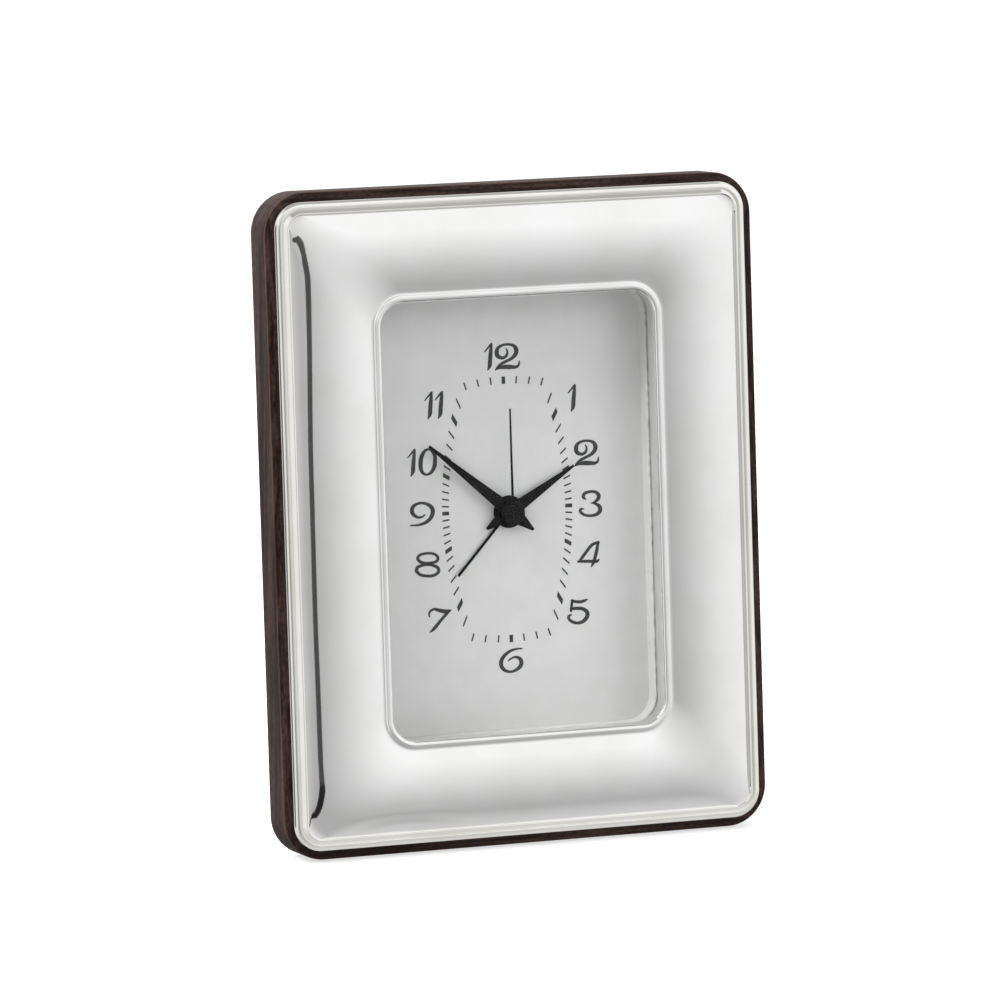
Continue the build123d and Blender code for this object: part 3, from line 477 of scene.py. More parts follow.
upright_grain = (Vector((0, 0, 1)), Vector((1, 1, 0)))
level_grain = (Vector((1, 0, 0)), Vector((0, 1, 1)))
FINISHES["dark_wood"] = wood_finish("upright_wood", *upright_grain, front_edge_place)
level_wood = wood_finish("level_wood", *level_grain, front_edge_place)
wing_wood = wood_finish("wing_wood", *upright_grain)
print("finishes:", FINISHES["dark_wood"].name, level_wood.name, wing_wood.name)

# %% [markdown]
# ## Plain finishes
#
# Moulded plastic, rolled metal, card and paint differ in their colours and in how coarse their
# grain is, but they are built alike. Cloudy noise shifts the tone, finer noise sets how the gloss
# wanders, and the same noise gives a low bump. A stretch along one direction makes rolled or
# brushed metal of it.

# %% Grained finish
clouds_per_grain = 12
grain_height = 0.00003
EVEN = (1.0, 1.0, 1.0)


def grained_finish(name, dark, light, gloss, grain, relief, metal=0.0, stretch=EVEN, shine=0.5):
    """Finish with a cloudy tone, a wandering gloss and a grain of a few tenths of a millimetre."""
    material, tree, shader = new_material(name)
    place = coordinates(tree)["Object"]
    clouds = noise(tree, place, grain / clouds_per_grain, 4.0, stretch)
    grains = noise(tree, place, grain, 3.0, stretch)
    tone = ramp(tree, clouds, 0.32, dark, 0.68, light)
    sheen = spread(tree, grains, 0.0, 1.0, *gloss)
    feed(tree, shader, {"Base Color": tone, "Roughness": sheen})
    feed(tree, shader, {"Metallic": metal, "Specular IOR Level": shine})
    stack_bumps(tree, shader, (grains, relief, grain_height))
    return material


# %% [markdown]
# Each row below is a finish: its darker and its lighter colour, the range of its roughness, how
# fine its grain is and how much of it can be felt. Metals and stretched grains say so at the end.

# %% Plain finishes
BLACK = (0.0055, 0.0055, 0.0055)
LIFTED_BLACK = (0.0095, 0.0095, 0.0095)
GRAINED = (
    ("dial_paint", (0.67, 0.675, 0.67), (0.70, 0.705, 0.70), (0.55, 0.7), 2600, 0.05),
    ("print_ink", (0.026, 0.026, 0.027), (0.036, 0.036, 0.037), (0.5, 0.65), 3000, 0.05),
    ("hand_black", BLACK, LIFTED_BLACK, (0.38, 0.52), 3500, 0.10, 0.0, EVEN, 0.10),
    ("core_resin", (0.55, 0.52, 0.46), (0.62, 0.59, 0.52), (0.5, 0.7), 900, 0.2),
    ("board_fibre", (0.055, 0.040, 0.032), (0.105, 0.080, 0.062), (0.75, 0.92), 2600, 0.5),
    ("hinge_brass", (0.52, 0.36, 0.13), (0.66, 0.47, 0.19), (0.22, 0.38), 1500, 0.10, 1.0, (1.0, 1.0, 0.12)),
    ("clip_steel", (0.46, 0.46, 0.45), (0.60, 0.60, 0.59), (0.24, 0.42), 1600, 0.12, 1.0, (0.12, 1.0, 1.0)),
    ("screw_steel", (0.42, 0.41, 0.38), (0.58, 0.57, 0.53), (0.22, 0.36), 2500, 0.1, 1.0),
    ("case_plastic", (0.016, 0.016, 0.017), (0.024, 0.024, 0.025), (0.42, 0.58), 2200, 0.35),
    ("knob_plastic", (0.020, 0.020, 0.021), (0.030, 0.030, 0.031), (0.30, 0.44), 2600, 0.15),
    ("slide_plastic", (0.30, 0.30, 0.29), (0.36, 0.36, 0.35), (0.36, 0.50), 2400, 0.15),
    ("train_plastic", (0.62, 0.61, 0.57), (0.72, 0.71, 0.67), (0.30, 0.45), 2000, 0.12),
    ("stator_steel", (0.36, 0.36, 0.36), (0.48, 0.48, 0.48), (0.30, 0.45), 1500, 0.12, 1.0, (0.15, 1.0, 1.0)),
    ("coil_copper", (0.42, 0.16, 0.07), (0.62, 0.27, 0.12), (0.25, 0.40), 5000, 0.5, 1.0, (1.0, 0.05, 0.05)),
    ("circuit_green", (0.02, 0.09, 0.04), (0.03, 0.13, 0.06), (0.25, 0.40), 1800, 0.1),
    ("buzzer_black", (0.012, 0.012, 0.012), (0.020, 0.020, 0.020), (0.5, 0.65), 1800, 0.2),
    ("contact_steel", (0.56, 0.55, 0.52), (0.68, 0.67, 0.64), (0.20, 0.34), 1800, 0.1, 1.0, (1.0, 1.0, 0.15)),
    ("cell_jacket", (0.035, 0.036, 0.040), (0.055, 0.056, 0.060), (0.20, 0.30), 700, 0.05),
    ("cell_sleeve", (0.05, 0.09, 0.16), (0.06, 0.11, 0.19), (0.18, 0.28), 700, 0.05),
)
for name, *recipe in GRAINED:
    FINISHES[name] = grained_finish(name, *recipe)
print("plain finishes:", len(GRAINED))

# %% [markdown]
# ## Pane
#
# The pane is clear, and is set to mirror little, so that the dial stays crisp. Left alone it would
# block the lamps and leave the dial dark, so a shadow ray passes straight through it. Faint wiping
# smears keep it from looking like a hole.

# %% Pane finish
pane_bend = 1.12


def pane_finish():
    """Clear sheet that lets shadow rays through, with faint smears."""
    material, tree, shader = new_material("pane")
    smears = noise(tree, coordinates(tree)["Object"], 60.0, 3.0)
    gloss = spread(tree, smears, 0.0, 1.0, 0.0, 0.02)
    feed(tree, shader, {"Base Color": (1.0, 1.0, 1.0, 1.0), "Transmission Weight": 1.0})
    feed(tree, shader, {"IOR": pane_bend, "Roughness": gloss})
    clear = add_node(tree, "BsdfTransparent", {})
    choose_surface(tree, is_ray(tree, "Shadow"), shader.outputs[0], clear.outputs[0])
    return material


FINISHES["pane"] = pane_finish()
print("finish:", FINISHES["pane"].name)

# %% [markdown]
# ## Spacer card
#
# A white card wall stands between the pane and the dial. Near the pane it is darkened into a broken
# dark line. The wall carries a map as the wood does: the second direction runs from the dial to the
# pane, so a band near the pane can be darkened in dots.

# %% Spacer finish
hand_room = 4.2
# Heights where the band of broken dark dots near the pane begins and where it is full.
dotted_band_start = hand_room - 1.0
dotted_band_full = hand_room - 0.6


def spacer_finish():
    """White card with a broken dark line beside the pane."""
    material, tree, shader = new_material("spacer_card")
    chart = coordinates(tree)["UV"]
    broken = noise(tree, chart, 1.0, 2.0, (420.0, 260.0, 1.0))
    edge = spread(tree, axes_of(tree, chart)["Y"], dotted_band_start * MM, dotted_band_full * MM, 0.0, 0.24)
    dots = maths(tree, "ADD", edge, broken)
    tone = ramp(tree, dots, 0.66, (0.74, 0.74, 0.73), 0.84, (0.56, 0.56, 0.55))
    feed(tree, shader, {"Base Color": tone, "Roughness": 0.6})
    stack_bumps(tree, shader, (broken, 0.1, 0.00004))
    return material


FINISHES["spacer_card"] = spacer_finish()
print("finish:", FINISHES["spacer_card"].name)

# %% [markdown]
# ## Making pieces
#
# Each piece is points and faces in face millimetres. One helper turns them into an object that
# rides on its body, stands in for a solid of the model, and has smooth rounds with crisp creases.
# A piece wears the finish of its slot, unless it is given another.

# %% Piece helper
CREASE = radians(35)


def outward_mesh(name, points, faces, soften=0.0):
    """Mesh from face millimetres with its faces turned outward; soften rounds its hard edges."""
    mesh = bpy.data.meshes.new(name)
    mesh.from_pydata([spot(*point) for point in points], [], faces)
    work = bmesh.new()
    work.from_mesh(mesh)
    bmesh.ops.recalc_face_normals(work, faces=work.faces)
    if soften > 0:
        hard = [edge for edge in work.edges if edge.is_manifold and edge.calc_face_angle() > CREASE]
        bmesh.ops.bevel(work, geom=hard, offset=soften * MM, segments=3, profile=0.5, affect="EDGES")
    work.to_mesh(mesh)
    work.free()
    return mesh


def piece(name, points, faces, slot, nodes=(), body="frame", finish=None, soften=0.0):
    """Object from face millimetres that rides on a body and stands in for solids."""
    mesh = outward_mesh(name, points, faces, soften)
    mesh.shade_smooth()
    mesh.set_sharp_from_angle(angle=CREASE)
    mesh.materials.append(finish or FINISHES[slot])
    made = bpy.data.objects.new(name, mesh)
    bpy.context.collection.objects.link(made)
    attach(made, body)
    if nodes:
        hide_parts(*nodes)
    print("piece:", name, len(mesh.polygons), "faces")
    return made


# %% [markdown]
# ## Rings
#
# The frame, the silver and the spacer are all rounded rectangles that change their size and height
# from ring to ring. A closed row of such rings, each with the same number of points, gives even
# four-sided faces that bend round the corners without a seam.

# %% Ring helpers
CORNER_STEPS = 20
SIDE_STEPS = 32


def ring(half_width, half_height, corner, depth, power=2.0):
    """Points round a rounded rectangle; a power over 2 lets its corners flow into its sides."""

    def flow(value):
        """Part of the corner's arc along one axis."""
        return corner * copysign(abs(value) ** (2 / power), value)

    arcs = []
    for side, end, start in ((1, 1, 0), (-1, 1, 90), (-1, -1, 180), (1, -1, 270)):
        middle = Vector((side * (half_width - corner), end * (half_height - corner), depth))
        turns = [radians(start + 90 * step / CORNER_STEPS) for step in range(CORNER_STEPS + 1)]
        arcs.append([middle + Vector((flow(cos(turn)), flow(sin(turn)), 0)) for turn in turns])
    points = []
    for arc, following in zip(arcs, arcs[1:] + arcs[:1]):
        points += arc
        points += [arc[-1].lerp(following[0], step / SIDE_STEPS) for step in range(1, SIDE_STEPS)]
    return points


def band(row, below, around):
    """Four-sided faces between two rows of points that close round."""
    faces = []
    for step in range(around):
        beside = (step + 1) % around
        upper = (row * around + step, row * around + beside)
        lower = (below * around + beside, below * around + step)
        faces.append(upper + lower)
    return faces


def running_length(points):
    """Length in metres from the first point to each of the others and back to the first."""
    run = [0.0]
    for start, end in zip(points, points[1:] + points[:1]):
        run.append(run[-1] + (end - start).length * MM)
    return run


def ring_piece(name, sections, slot, nodes):
    """Piece from rings that close on themselves, with a map along and across the rings, in metres."""
    rings = [ring(*section) for section in sections]
    rows = len(rings)
    around = len(rings[0])
    points = [point for one in rings for point in one]
    faces = [face for row in range(rows) for face in band(row, (row + 1) % rows, around)]
    made = piece(name, points, faces, slot, nodes)
    run = running_length(rings[0])
    climb = running_length([one[0] for one in rings])
    mesh = made.data
    chart = mesh.uv_layers.new(name="along_and_across")
    for face in mesh.polygons:
        row, step = divmod(face.index, around)
        for corner in face.loop_indices:
            point_row, point_step = divmod(mesh.loops[corner].vertex_index, around)
            u = run[around] if step == around - 1 and point_step == 0 else run[point_step]
            v = climb[rows] if row == rows - 1 and point_row == 0 else climb[point_row]
            chart.data[corner].uv = (u, v)
    return made


def round_over(middle, radius, start, end, steps=9):
    """Points of a rounded edge in a section: inset and height, from one direction to another."""
    turns = [radians(start + (end - start) * step / steps) for step in range(steps + 1)]
    return [(middle[0] + radius * cos(turn), middle[1] + radius * sin(turn)) for turn in turns]


print("points in a ring:", 4 * (CORNER_STEPS + SIDE_STEPS))

# %% [markdown]
# ## Wooden frame
#
# The real frame is a moulding with mitred, rounded corners. Its section is walked once round: up
# the outer side, over the soft front edge, across the front, and down the steps of the rebate that
# hold the pane and the board. The lower back edge is planed level, so the clock leans.

# %% Wooden frame
frame_half_width = 52.5
frame_half_height = 67.5
frame_corner = 8.4
frame_thickness = 9.3
front_edge_round = 0.25
front_slope_drop = 0.45
front_slope_width = 1.95
back_edge_bevel = 0.3
heel_flat = 2.2
window_half_width = 29.4
window_half_height = 44.4
window_corner = 4.8
rebate_corner = 6.7
glass_drop = 1.0
pane_gap = 0.04
board_front = -7.5
lip_growth = 0.6
glass_growth = 2.6
board_growth = 7.6


def outside(inset, depth):
    """Ring inside the outline of the wooden frame."""
    return (frame_half_width - inset, frame_half_height - inset, frame_corner - inset, depth)


def window(growth, depth, corner=window_corner):
    """Ring outside the outline of the window."""
    return (window_half_width + growth, window_half_height + growth, corner + growth, depth)


def rebate(growth, depth):
    """Ring outside the window where the pane, the spacer and the board lie, with rounder corners."""
    return window(growth, depth, rebate_corner)


edge_depth = -front_slope_drop - front_edge_round
side_depths = (-frame_thickness + back_edge_bevel, heel_flat - frame_thickness, -4.0, -2.0, edge_depth)
front_edge = round_over((front_edge_round, edge_depth), front_edge_round, 180, 105, 5)
frame_sections = [outside(back_edge_bevel, -frame_thickness)]
frame_sections += [outside(0, depth) for depth in side_depths]
frame_sections += [outside(inset, depth) for inset, depth in front_edge[1:]]
frame_sections += [
    outside(front_slope_width, 0),
    window(lip_growth, 0),
    window(lip_growth, pane_gap - glass_drop),
    rebate(glass_growth, pane_gap - glass_drop),
    rebate(glass_growth, board_front),
    rebate(board_growth, board_front),
    rebate(board_growth, -frame_thickness),
]
wood_rail = ring_piece("wood_rail", frame_sections, "dark_wood", ["wood_frame"])
for vertex in wood_rail.data.vertices:
    vertex.co.z = max(vertex.co.z, 0.0)

# %% [markdown]
# The top and bottom rails take the level wood. A rail ends in the middle of each corner, where the
# mitre is, so the faces are counted from there in quarters.

# %% Grain of the rails
wood_rail.data.materials.append(level_wood)
quarter_steps = CORNER_STEPS + SIDE_STEPS
for face in wood_rail.data.polygons:
    quarter = (face.index % (4 * quarter_steps) - CORNER_STEPS // 2) // quarter_steps
    face.material_index = 1 if quarter % 2 == 0 else 0
print("level faces:", sum(face.material_index for face in wood_rail.data.polygons))

# %% [markdown]
# ## Silver front
#
# Thin sheet is pressed over a form: a bead at the edge, a higher step, a broad cushion and a rim
# at the window, whose flange turns in to the pane. The section is walked once over the front and
# back along the underside, so the sheet keeps its thickness. The cushion is an arch between the
# step and the rim. Between these two its corners are fuller, so that they flow into the sides and
# no crease runs across them.

# %% Silver section
silver_margin = 1.75
silver_corner = 5.8
bead_width = 1.5
bead_height = 1.4
bead_round = 1.3
groove_round = 0.2
cushion_inset = 2.85
cushion_foot = 1.67
cushion_rise = 2.2
cushion_steps = 36
cushion_swell = 3.5
swell_lean = 0.5
corner_flow = 0.8
flow_lean = 0.4
flow_growth = 0.45
rim_width = 2.0
rim_height = 3.09
rim_round = 0.9
rim_valley = 2.29
rim_lean = 1.7
rim_steps = 24
sheet = 0.5


def silver(inset, depth):
    """Ring inside the outline of the silver."""
    margin = silver_margin + inset
    return (frame_half_width - margin, frame_half_height - margin, silver_corner - inset, depth)


def cushion(share, drop):
    """Ring of the cushion, from the step at 0 to the rim at 1, lowered by drop."""
    outer = silver(cushion_inset, cushion_foot - drop)
    inner = window(rim_width, rim_valley - drop)
    width, height, corner, depth = (start + share * (end - start) for start, end in zip(outer, inner))
    swell = cushion_swell * sin(pi * share ** swell_lean)
    flow = corner_flow * sin(pi * share ** flow_lean)
    arch = 4 * cushion_rise * share * (1 - share)
    return (width, height, (corner + swell) * (1 + flow_growth * flow), depth + arch, 2 + flow)


bead_outer = round_over((bead_round, bead_height - bead_round), bead_round, 180, 90)
bead_inner = round_over((bead_width - groove_round, bead_height - groove_round), groove_round, 90, 0, 5)
step_rise = [(1.52, 1.18), (2.30, 1.96), (2.37, 2.02), (2.45, 2.05)]
step_fall = [(2.53, 2.01), (2.60, 1.86), (2.68, 1.73)]
rim_outer = []
for step in range(1, rim_steps + 1):
    share = step / rim_steps
    climb = (rim_height - rim_valley) * (1 - cos(pi * share ** rim_lean)) / 2
    rim_outer.append((rim_width - share * (rim_width - rim_round), rim_valley + climb))
rim_inner = round_over((rim_round, rim_height - rim_round), rim_round, 90, 180)
shares = [step / cushion_steps for step in range(cushion_steps + 1)]
print("rings across the cushion:", len(shares))

# %% Silver front
flange_end = pane_gap - glass_drop
silver_sections = [silver(0, 0)]
silver_sections += [silver(*point) for point in bead_outer + bead_inner[1:] + step_rise + step_fall]
silver_sections += [cushion(share, 0) for share in shares]
silver_sections += [window(*point) for point in rim_outer + rim_inner]
silver_sections += [window(0, flange_end), window(sheet, flange_end)]
silver_sections += [window(sheet, 0), window(rim_width, 0)]
silver_sections += [cushion(share, sheet) for share in reversed(shares)]
silver_sections += [silver(cushion_inset, 0)]
silver_face = ring_piece("silver_face", silver_sections, "silver", ["silver_front"])

# %% [markdown]
# The hollow of the pressed sheet is filled with a moulded core. It follows the underside of the
# cushion with a little slip, so it needs fewer rings.

# %% Core
core_slip = 0.05
core_shares = [core_slip + (1 - 2 * core_slip) * share for share in shares[::3]]
core_sections = [silver(cushion_inset + core_slip, 0)]
core_sections += [cushion(share, sheet + core_slip) for share in core_shares]
core_sections += [window(rim_width + core_slip, 0)]
core_fill = ring_piece("core_fill", core_sections, "core_resin", ["front_core"])

# %% [markdown]
# The press left low ripples in the cushion, at the left end of its lower edge. They are ovals inside
# each other that die out, and they bend the mirrored room into soft arches. The core has them too,
# because it was moulded into the pressed sheet.

# %% Ripples
ripple_depth = 0.18
ripple_x = -27.0
ripple_y = -62.5
ripple_half_width = 13.0
ripple_half_height = 3.0
ripple_turns = 7.0

for pressed in (silver_face, core_fill):
    for vertex in pressed.data.vertices:
        gap = (vertex.co - FACE) / MM
        across = (gap.dot(RIGHT) - ripple_x) / ripple_half_width
        upward = (gap.dot(UP) - ripple_y) / ripple_half_height
        reach = sqrt(across ** 2 + upward ** 2)
        wave = 0.5 + 0.5 * cos(ripple_turns * reach)
        vertex.co -= FRONT * (ripple_depth * MM * exp(-reach * reach) * wave)
print("ripples:", ripple_depth, "mm deep at most")

# %% [markdown]
# ## Spacer wall
#
# Four rings make the card wall between pane and dial. It starts at the dial, so that the map's
# second direction is the height above the dial.

# %% Spacer wall
spacer_setback = 0.3
spacer_growth = 2.5
spacer_top = dial_front + hand_room - pane_gap
spacer_sections = [
    window(spacer_setback, dial_front),
    window(spacer_setback, spacer_top),
    rebate(spacer_growth, spacer_top),
    rebate(spacer_growth, dial_front),
]
ring_piece("spacer_wall", spacer_sections, "spacer_card", ["window_spacer"])

# %% [markdown]
# ## Minute track
#
# Sixty marks lie on a barrel-shaped track: two flat arcs at the sides and two at top and bottom.
# Each mark is a strip of the ray from the middle, cut off by an inner and an outer barrel, so the
# marks near the corners end on a slant, as on the printed dial.

# %% Minute track
print_x = -0.15
print_y = 0.4
track_half_width = 13.4
track_half_height = 26.5
track_side_radius = 73.0
track_end_radius = 49.0
track_half_depth = 0.75
minute_mark = 0.32
hour_mark = 0.78
ink_height = 0.03


def reach_circle(start, ray, middle, radius):
    """Distance along a ray from a start inside a circle to the circle."""
    gap = start - middle
    along = gap.dot(ray)
    return -along + sqrt(along * along + radius * radius - gap.dot(gap))


def reach_barrel(start, ray, growth):
    """Distance along a ray to the barrel, grown on each side."""
    side = 1 if ray.x >= 0 else -1
    end = 1 if ray.y >= 0 else -1
    side_middle = Vector((side * (track_half_width - track_side_radius), 0))
    end_middle = Vector((0, end * (track_half_height - track_end_radius)))
    return min(
        reach_circle(start, ray, side_middle, track_side_radius + growth),
        reach_circle(start, ray, end_middle, track_end_radius + growth),
    )


def slab(outline, back, front):
    """Points and faces of a flat prism over an outline of two coordinates."""
    count = len(outline)
    points = [(*point, back) for point in outline] + [(*point, front) for point in outline]
    faces = [tuple(reversed(range(count))), tuple(range(count, 2 * count))]
    return points, faces + band(0, 1, count)


def join(forms):
    """One set of points and faces from several."""
    points = []
    faces = []
    for form_points, form_faces in forms:
        start = len(points)
        points += form_points
        faces += [tuple(start + index for index in face) for face in form_faces]
    return points, faces


marks = []
for minute in range(60):
    turn = radians(6 * minute)
    ray = Vector((sin(turn), cos(turn)))
    aside = Vector((ray.y, -ray.x)) * (hour_mark if minute % 5 == 0 else minute_mark) / 2
    corners = []
    for start, growth in ((-aside, -1), (-aside, 1), (aside, 1), (aside, -1)):
        far = start + ray * reach_barrel(start, ray, growth * track_half_depth)
        corners.append((print_x + far.x, print_y + far.y))
    marks.append(slab(corners, dial_front, dial_front + ink_height))
piece("minute_track", *join(marks), "hand_black", finish=FINISHES["print_ink"])

# %% [markdown]
# ## Numerals
#
# The numerals are broad-pen forms: thick where the pen comes down, thin where it turns. Each figure
# is drawn once on a type grid as pen strokes, and every point of a stroke gives the place and the
# width of the pen. A smooth curve through the points, as wide as the pen, is the figure.

# %% Figures on the grid
FIGURES = {
    "0": [
        ("ring", (250, 290, 62), (262, 200, 58), (300, 120, 44), (350, 88, 32), (400, 105, 36),
         (445, 170, 52), (450, 250, 58), (440, 330, 58), (400, 405, 46), (340, 440, 32), (290, 425, 40),
         (258, 370, 54)),
    ],
    "1": [
        ("line", (318, 92, 24), (306, 190, 52), (296, 320, 60), (290, 400, 56), (264, 462, 16)),
        ("line", (222, 205, 18), (258, 160, 24), (310, 100, 34)),
    ],
    "2": [
        ("line", (265, 160, 18), (285, 205, 30), (265, 265, 40), (210, 290, 44), (150, 265, 58),
         (135, 210, 62), (155, 150, 48), (215, 112, 36), (290, 100, 34), (365, 115, 44), (405, 165, 62),
         (400, 230, 60), (350, 290, 46), (280, 330, 40), (205, 370, 42), (150, 420, 34),
         (115, 458, 12)),
        ("line", (115, 460, 12), (170, 430, 36), (250, 415, 60), (330, 415, 60), (400, 415, 44),
         (440, 390, 34), (450, 345, 24), (448, 328, 14)),
    ],
    "3": [
        ("line", (215, 208, 20), (185, 185, 44), (185, 150, 46), (215, 118, 44), (280, 102, 40),
         (345, 105, 42), (390, 140, 56), (398, 180, 56), (370, 225, 46), (325, 255, 26),
         (285, 264, 10)),
        ("line", (285, 264, 10), (340, 268, 30), (395, 295, 52), (418, 335, 60), (410, 385, 58),
         (360, 425, 46), (280, 440, 38), (200, 430, 38), (150, 395, 42), (138, 360, 40), (160, 345, 30),
         (190, 345, 14)),
    ],
    "4": [
        ("line", (425, 110, 36), (365, 125, 40), (310, 165, 44), (250, 245, 44), (190, 325, 44),
         (145, 385, 26)),
        ("line", (135, 378, 30), (220, 376, 42), (320, 376, 42), (400, 376, 42), (432, 345, 16)),
        ("line", (418, 105, 34), (402, 200, 48), (380, 300, 50), (355, 385, 48), (322, 452, 20)),
    ],
    "5": [
        ("line", (195, 120, 34), (188, 190, 40), (178, 270, 36)),
        ("line", (190, 130, 36), (250, 140, 40), (320, 142, 44), (385, 120, 34), (412, 108, 14)),
        ("line", (180, 240, 40), (270, 235, 46), (350, 245, 50), (405, 290, 60), (405, 350, 62),
         (360, 410, 54), (290, 440, 44), (210, 430, 42), (155, 390, 42), (145, 350, 40),
         (180, 325, 24)),
    ],
    "6": [
        ("line", (430, 115, 20), (370, 118, 26), (290, 138, 36), (215, 185, 46), (160, 250, 54),
         (140, 310, 58), (150, 370, 56), (195, 420, 44), (270, 440, 36), (340, 420, 42), (400, 375, 56),
         (425, 320, 60), (410, 265, 54), (360, 235, 36), (310, 240, 28), (265, 265, 24),
         (238, 290, 14)),
    ],
    "7": [
        ("line", (150, 230, 20), (145, 190, 26), (165, 150, 32), (215, 125, 36), (280, 140, 50),
         (350, 155, 56), (425, 148, 40), (450, 138, 14)),
        ("line", (435, 145, 26), (395, 180, 44), (330, 255, 44), (265, 335, 46), (225, 385, 48),
         (190, 420, 38), (155, 448, 12)),
    ],
    "8": [
        ("ring", (140, 190, 44), (165, 140, 40), (230, 118, 36), (290, 112, 34), (360, 120, 36),
         (415, 160, 42), (415, 205, 44), (380, 235, 40), (280, 255, 44), (190, 240, 44)),
        ("ring", (122, 345, 50), (160, 295, 44), (280, 275, 30), (390, 295, 44), (430, 340, 46),
         (415, 390, 44), (350, 425, 42), (270, 430, 40), (180, 415, 42), (135, 375, 46)),
    ],
    "9": [
        ("line", (310, 290, 20), (270, 318, 28), (215, 325, 36), (155, 290, 52), (130, 240, 58),
         (145, 180, 52), (195, 140, 40), (270, 125, 36), (350, 145, 46), (405, 190, 58), (420, 250, 62),
         (395, 325, 56), (345, 380, 50), (280, 415, 40), (200, 435, 30), (130, 438, 24),
         (108, 440, 16)),
    ],
}
print("figures drawn:", len(FIGURES))

# %% Pen strokes
grid_middle = 270
grid_across = Vector((0.01557, -0.00097))
grid_down = Vector((-0.00049, -0.01463))
pen_unit = 0.0151
pen_steps = 6
pen_end = 0.05


def pen_curve(points, closed):
    """Samples of a smooth curve through drawn points: place on the grid and width of the pen."""
    drawn = [Vector(point) for point in points]
    before = drawn[-1] if closed else drawn[0]
    after = drawn[:2] if closed else [drawn[-1]]
    guide = [before] + drawn + after
    samples = []
    for first, start, end, last in zip(guide, guide[1:], guide[2:], guide[3:]):
        for step in range(pen_steps):
            t = step / pen_steps
            bend = (2 * first - 5 * start + 4 * end - last) * t * t
            bend += (3 * (start - end) + last - first) * t ** 3
            samples.append(start + ((end - first) * t + bend) / 2)
    return samples if closed else samples + [drawn[-1]]


def pen_stroke(stroke, place):
    """Flat closed band along a stroke, with round ends where it is open."""
    closed = stroke[0] == "ring"
    samples = pen_curve(stroke[1:], closed)
    path = []
    for sample in samples:
        flat = grid_across * (sample.x - grid_middle) + grid_down * (sample.y - grid_middle)
        path.append((place + flat, sample.z * pen_unit / 2))
    sides = []
    count = len(path)
    for index, (here, half) in enumerate(path):
        ahead = path[(index + 1) % count][0] if closed else path[min(index + 1, count - 1)][0]
        behind = path[index - 1][0] if closed else path[max(index - 1, 0)][0]
        heading = (ahead - behind).normalized()
        sides.append((here, Vector((-heading.y, heading.x)), half))
    if not closed:
        sides = round_end(sides[0], -1) + sides + round_end(sides[-1], 1)
    points = []
    for here, aside, half in sides:
        left = here + aside * half
        right = here - aside * half
        points += [(*left, dial_front), (*left, dial_front + ink_height)]
        points += [(*right, dial_front + ink_height), (*right, dial_front)]
    rows = len(sides)
    faces = []
    for row in range(rows if closed else rows - 1):
        faces += band(row, (row + 1) % rows, 4)
    if not closed:
        faces += [(0, 1, 2, 3), tuple(4 * rows - 1 - i for i in range(4))]
    return points, faces


def round_end(side, way, steps=4):
    """Narrowing sections that round off one end of a stroke."""
    here, aside, half = side
    heading = Vector((aside.y, -aside.x)) * way
    turns = [pi / 2 * step / steps for step in range(1, steps + 1)]
    ends = [(here + heading * half * sin(turn), aside, half * max(cos(turn), pen_end)) for turn in turns]
    return ends if way > 0 else list(reversed(ends))


print("pen steps between points:", pen_steps)

# %% [markdown]
# A numeral is one figure or two. It has its place on the dial, and each of its figures may be
# shifted on the grid.

# %% Numerals
NUMERALS = (
    ((-0.4, 31.75), (("1", -185, 0), ("2", 68, 0))),
    ((14.6, 22.5), (("1", 0, 0),)),
    ((17.3, 11.0), (("2", 0, 0),)),
    ((17.85, 0.5), (("3", 0, 0),)),
    ((17.1, -9.8), (("4", 0, 0),)),
    ((14.5, -21.4), (("5", 0, 0),)),
    ((-0.5, -30.45), (("6", 0, 0),)),
    ((-15.9, -21.15), (("7", 0, 0),)),
    ((-17.9, -9.75), (("8", 0, 0),)),
    ((-18.65, 0.75), (("9", 0, 0),)),
    ((-18.3, 11.15), (("1", -147, 0), ("0", 0, 0))),
    ((-15.5, 22.8), (("1", -66, 8), ("1", 78, 0))),
)
strokes = []
for place, figures in NUMERALS:
    for figure, across, down in figures:
        shift = grid_across * across + grid_down * down
        strokes += [pen_stroke(stroke, Vector(place) + shift) for stroke in FIGURES[figure]]
piece("numerals", *join(strokes), "hand_black", finish=FINISHES["print_ink"])

# %% [markdown]
# ## Hands
#
# The hands are stamped from thin sheet and painted black. Each one is a narrow blade, pressed on a
# round collet. The hour and minute hands also have a flared tail. A blade is drawn pointing up at
# twelve and turned to its angle, and its edges are softened, so that the paint catches a thin line
# of light.

# %% Turned forms and blades
TURN_STEPS = 64


def laid(place, x, y, along, lay):
    """Point beside an axis, which is the front normal, or the clock's width where lay is "side"."""
    if lay == "front":
        return (place[0] + x, place[1] + y, along)
    return (along, place[0] + x, place[1] + y)


def turned(profile, place, lay="front", flutes=0, flute_depth=0.0, steps=TURN_STEPS):
    """Turned form: a profile of radius, place along the axis and, for flutes, their share."""
    points = []
    for radius, along, *share in profile:
        for step in range(steps):
            turn = 2 * pi * step / steps
            notch = flute_depth * share[0] * max(cos(flutes * turn), 0.0) ** 2 if share else 0.0
            reach = radius - notch
            points.append(laid(place, reach * cos(turn), reach * sin(turn), along, lay))
    rows = len(profile)
    faces = [tuple(range(steps)), tuple((rows - 1) * steps + step for step in range(steps))]
    for row in range(rows - 1):
        faces += band(row, row + 1, steps)
    return points, faces


def disc(radius, low, high, foot, top, end):
    """Profile of a disc; foot and top say how far in and how high the bevels of its edges go."""
    return [
        (radius - foot[0], low),
        (radius, low + foot[1]),
        (radius, high - top[1]),
        (radius - top[0], high),
        (end, high),
    ]


def clock_turn(outline, angle):
    """Outline turned clockwise about the middle of the dial."""
    turn = radians(angle)
    return [(x * cos(turn) + y * sin(turn), -x * sin(turn) + y * cos(turn)) for x, y in outline]


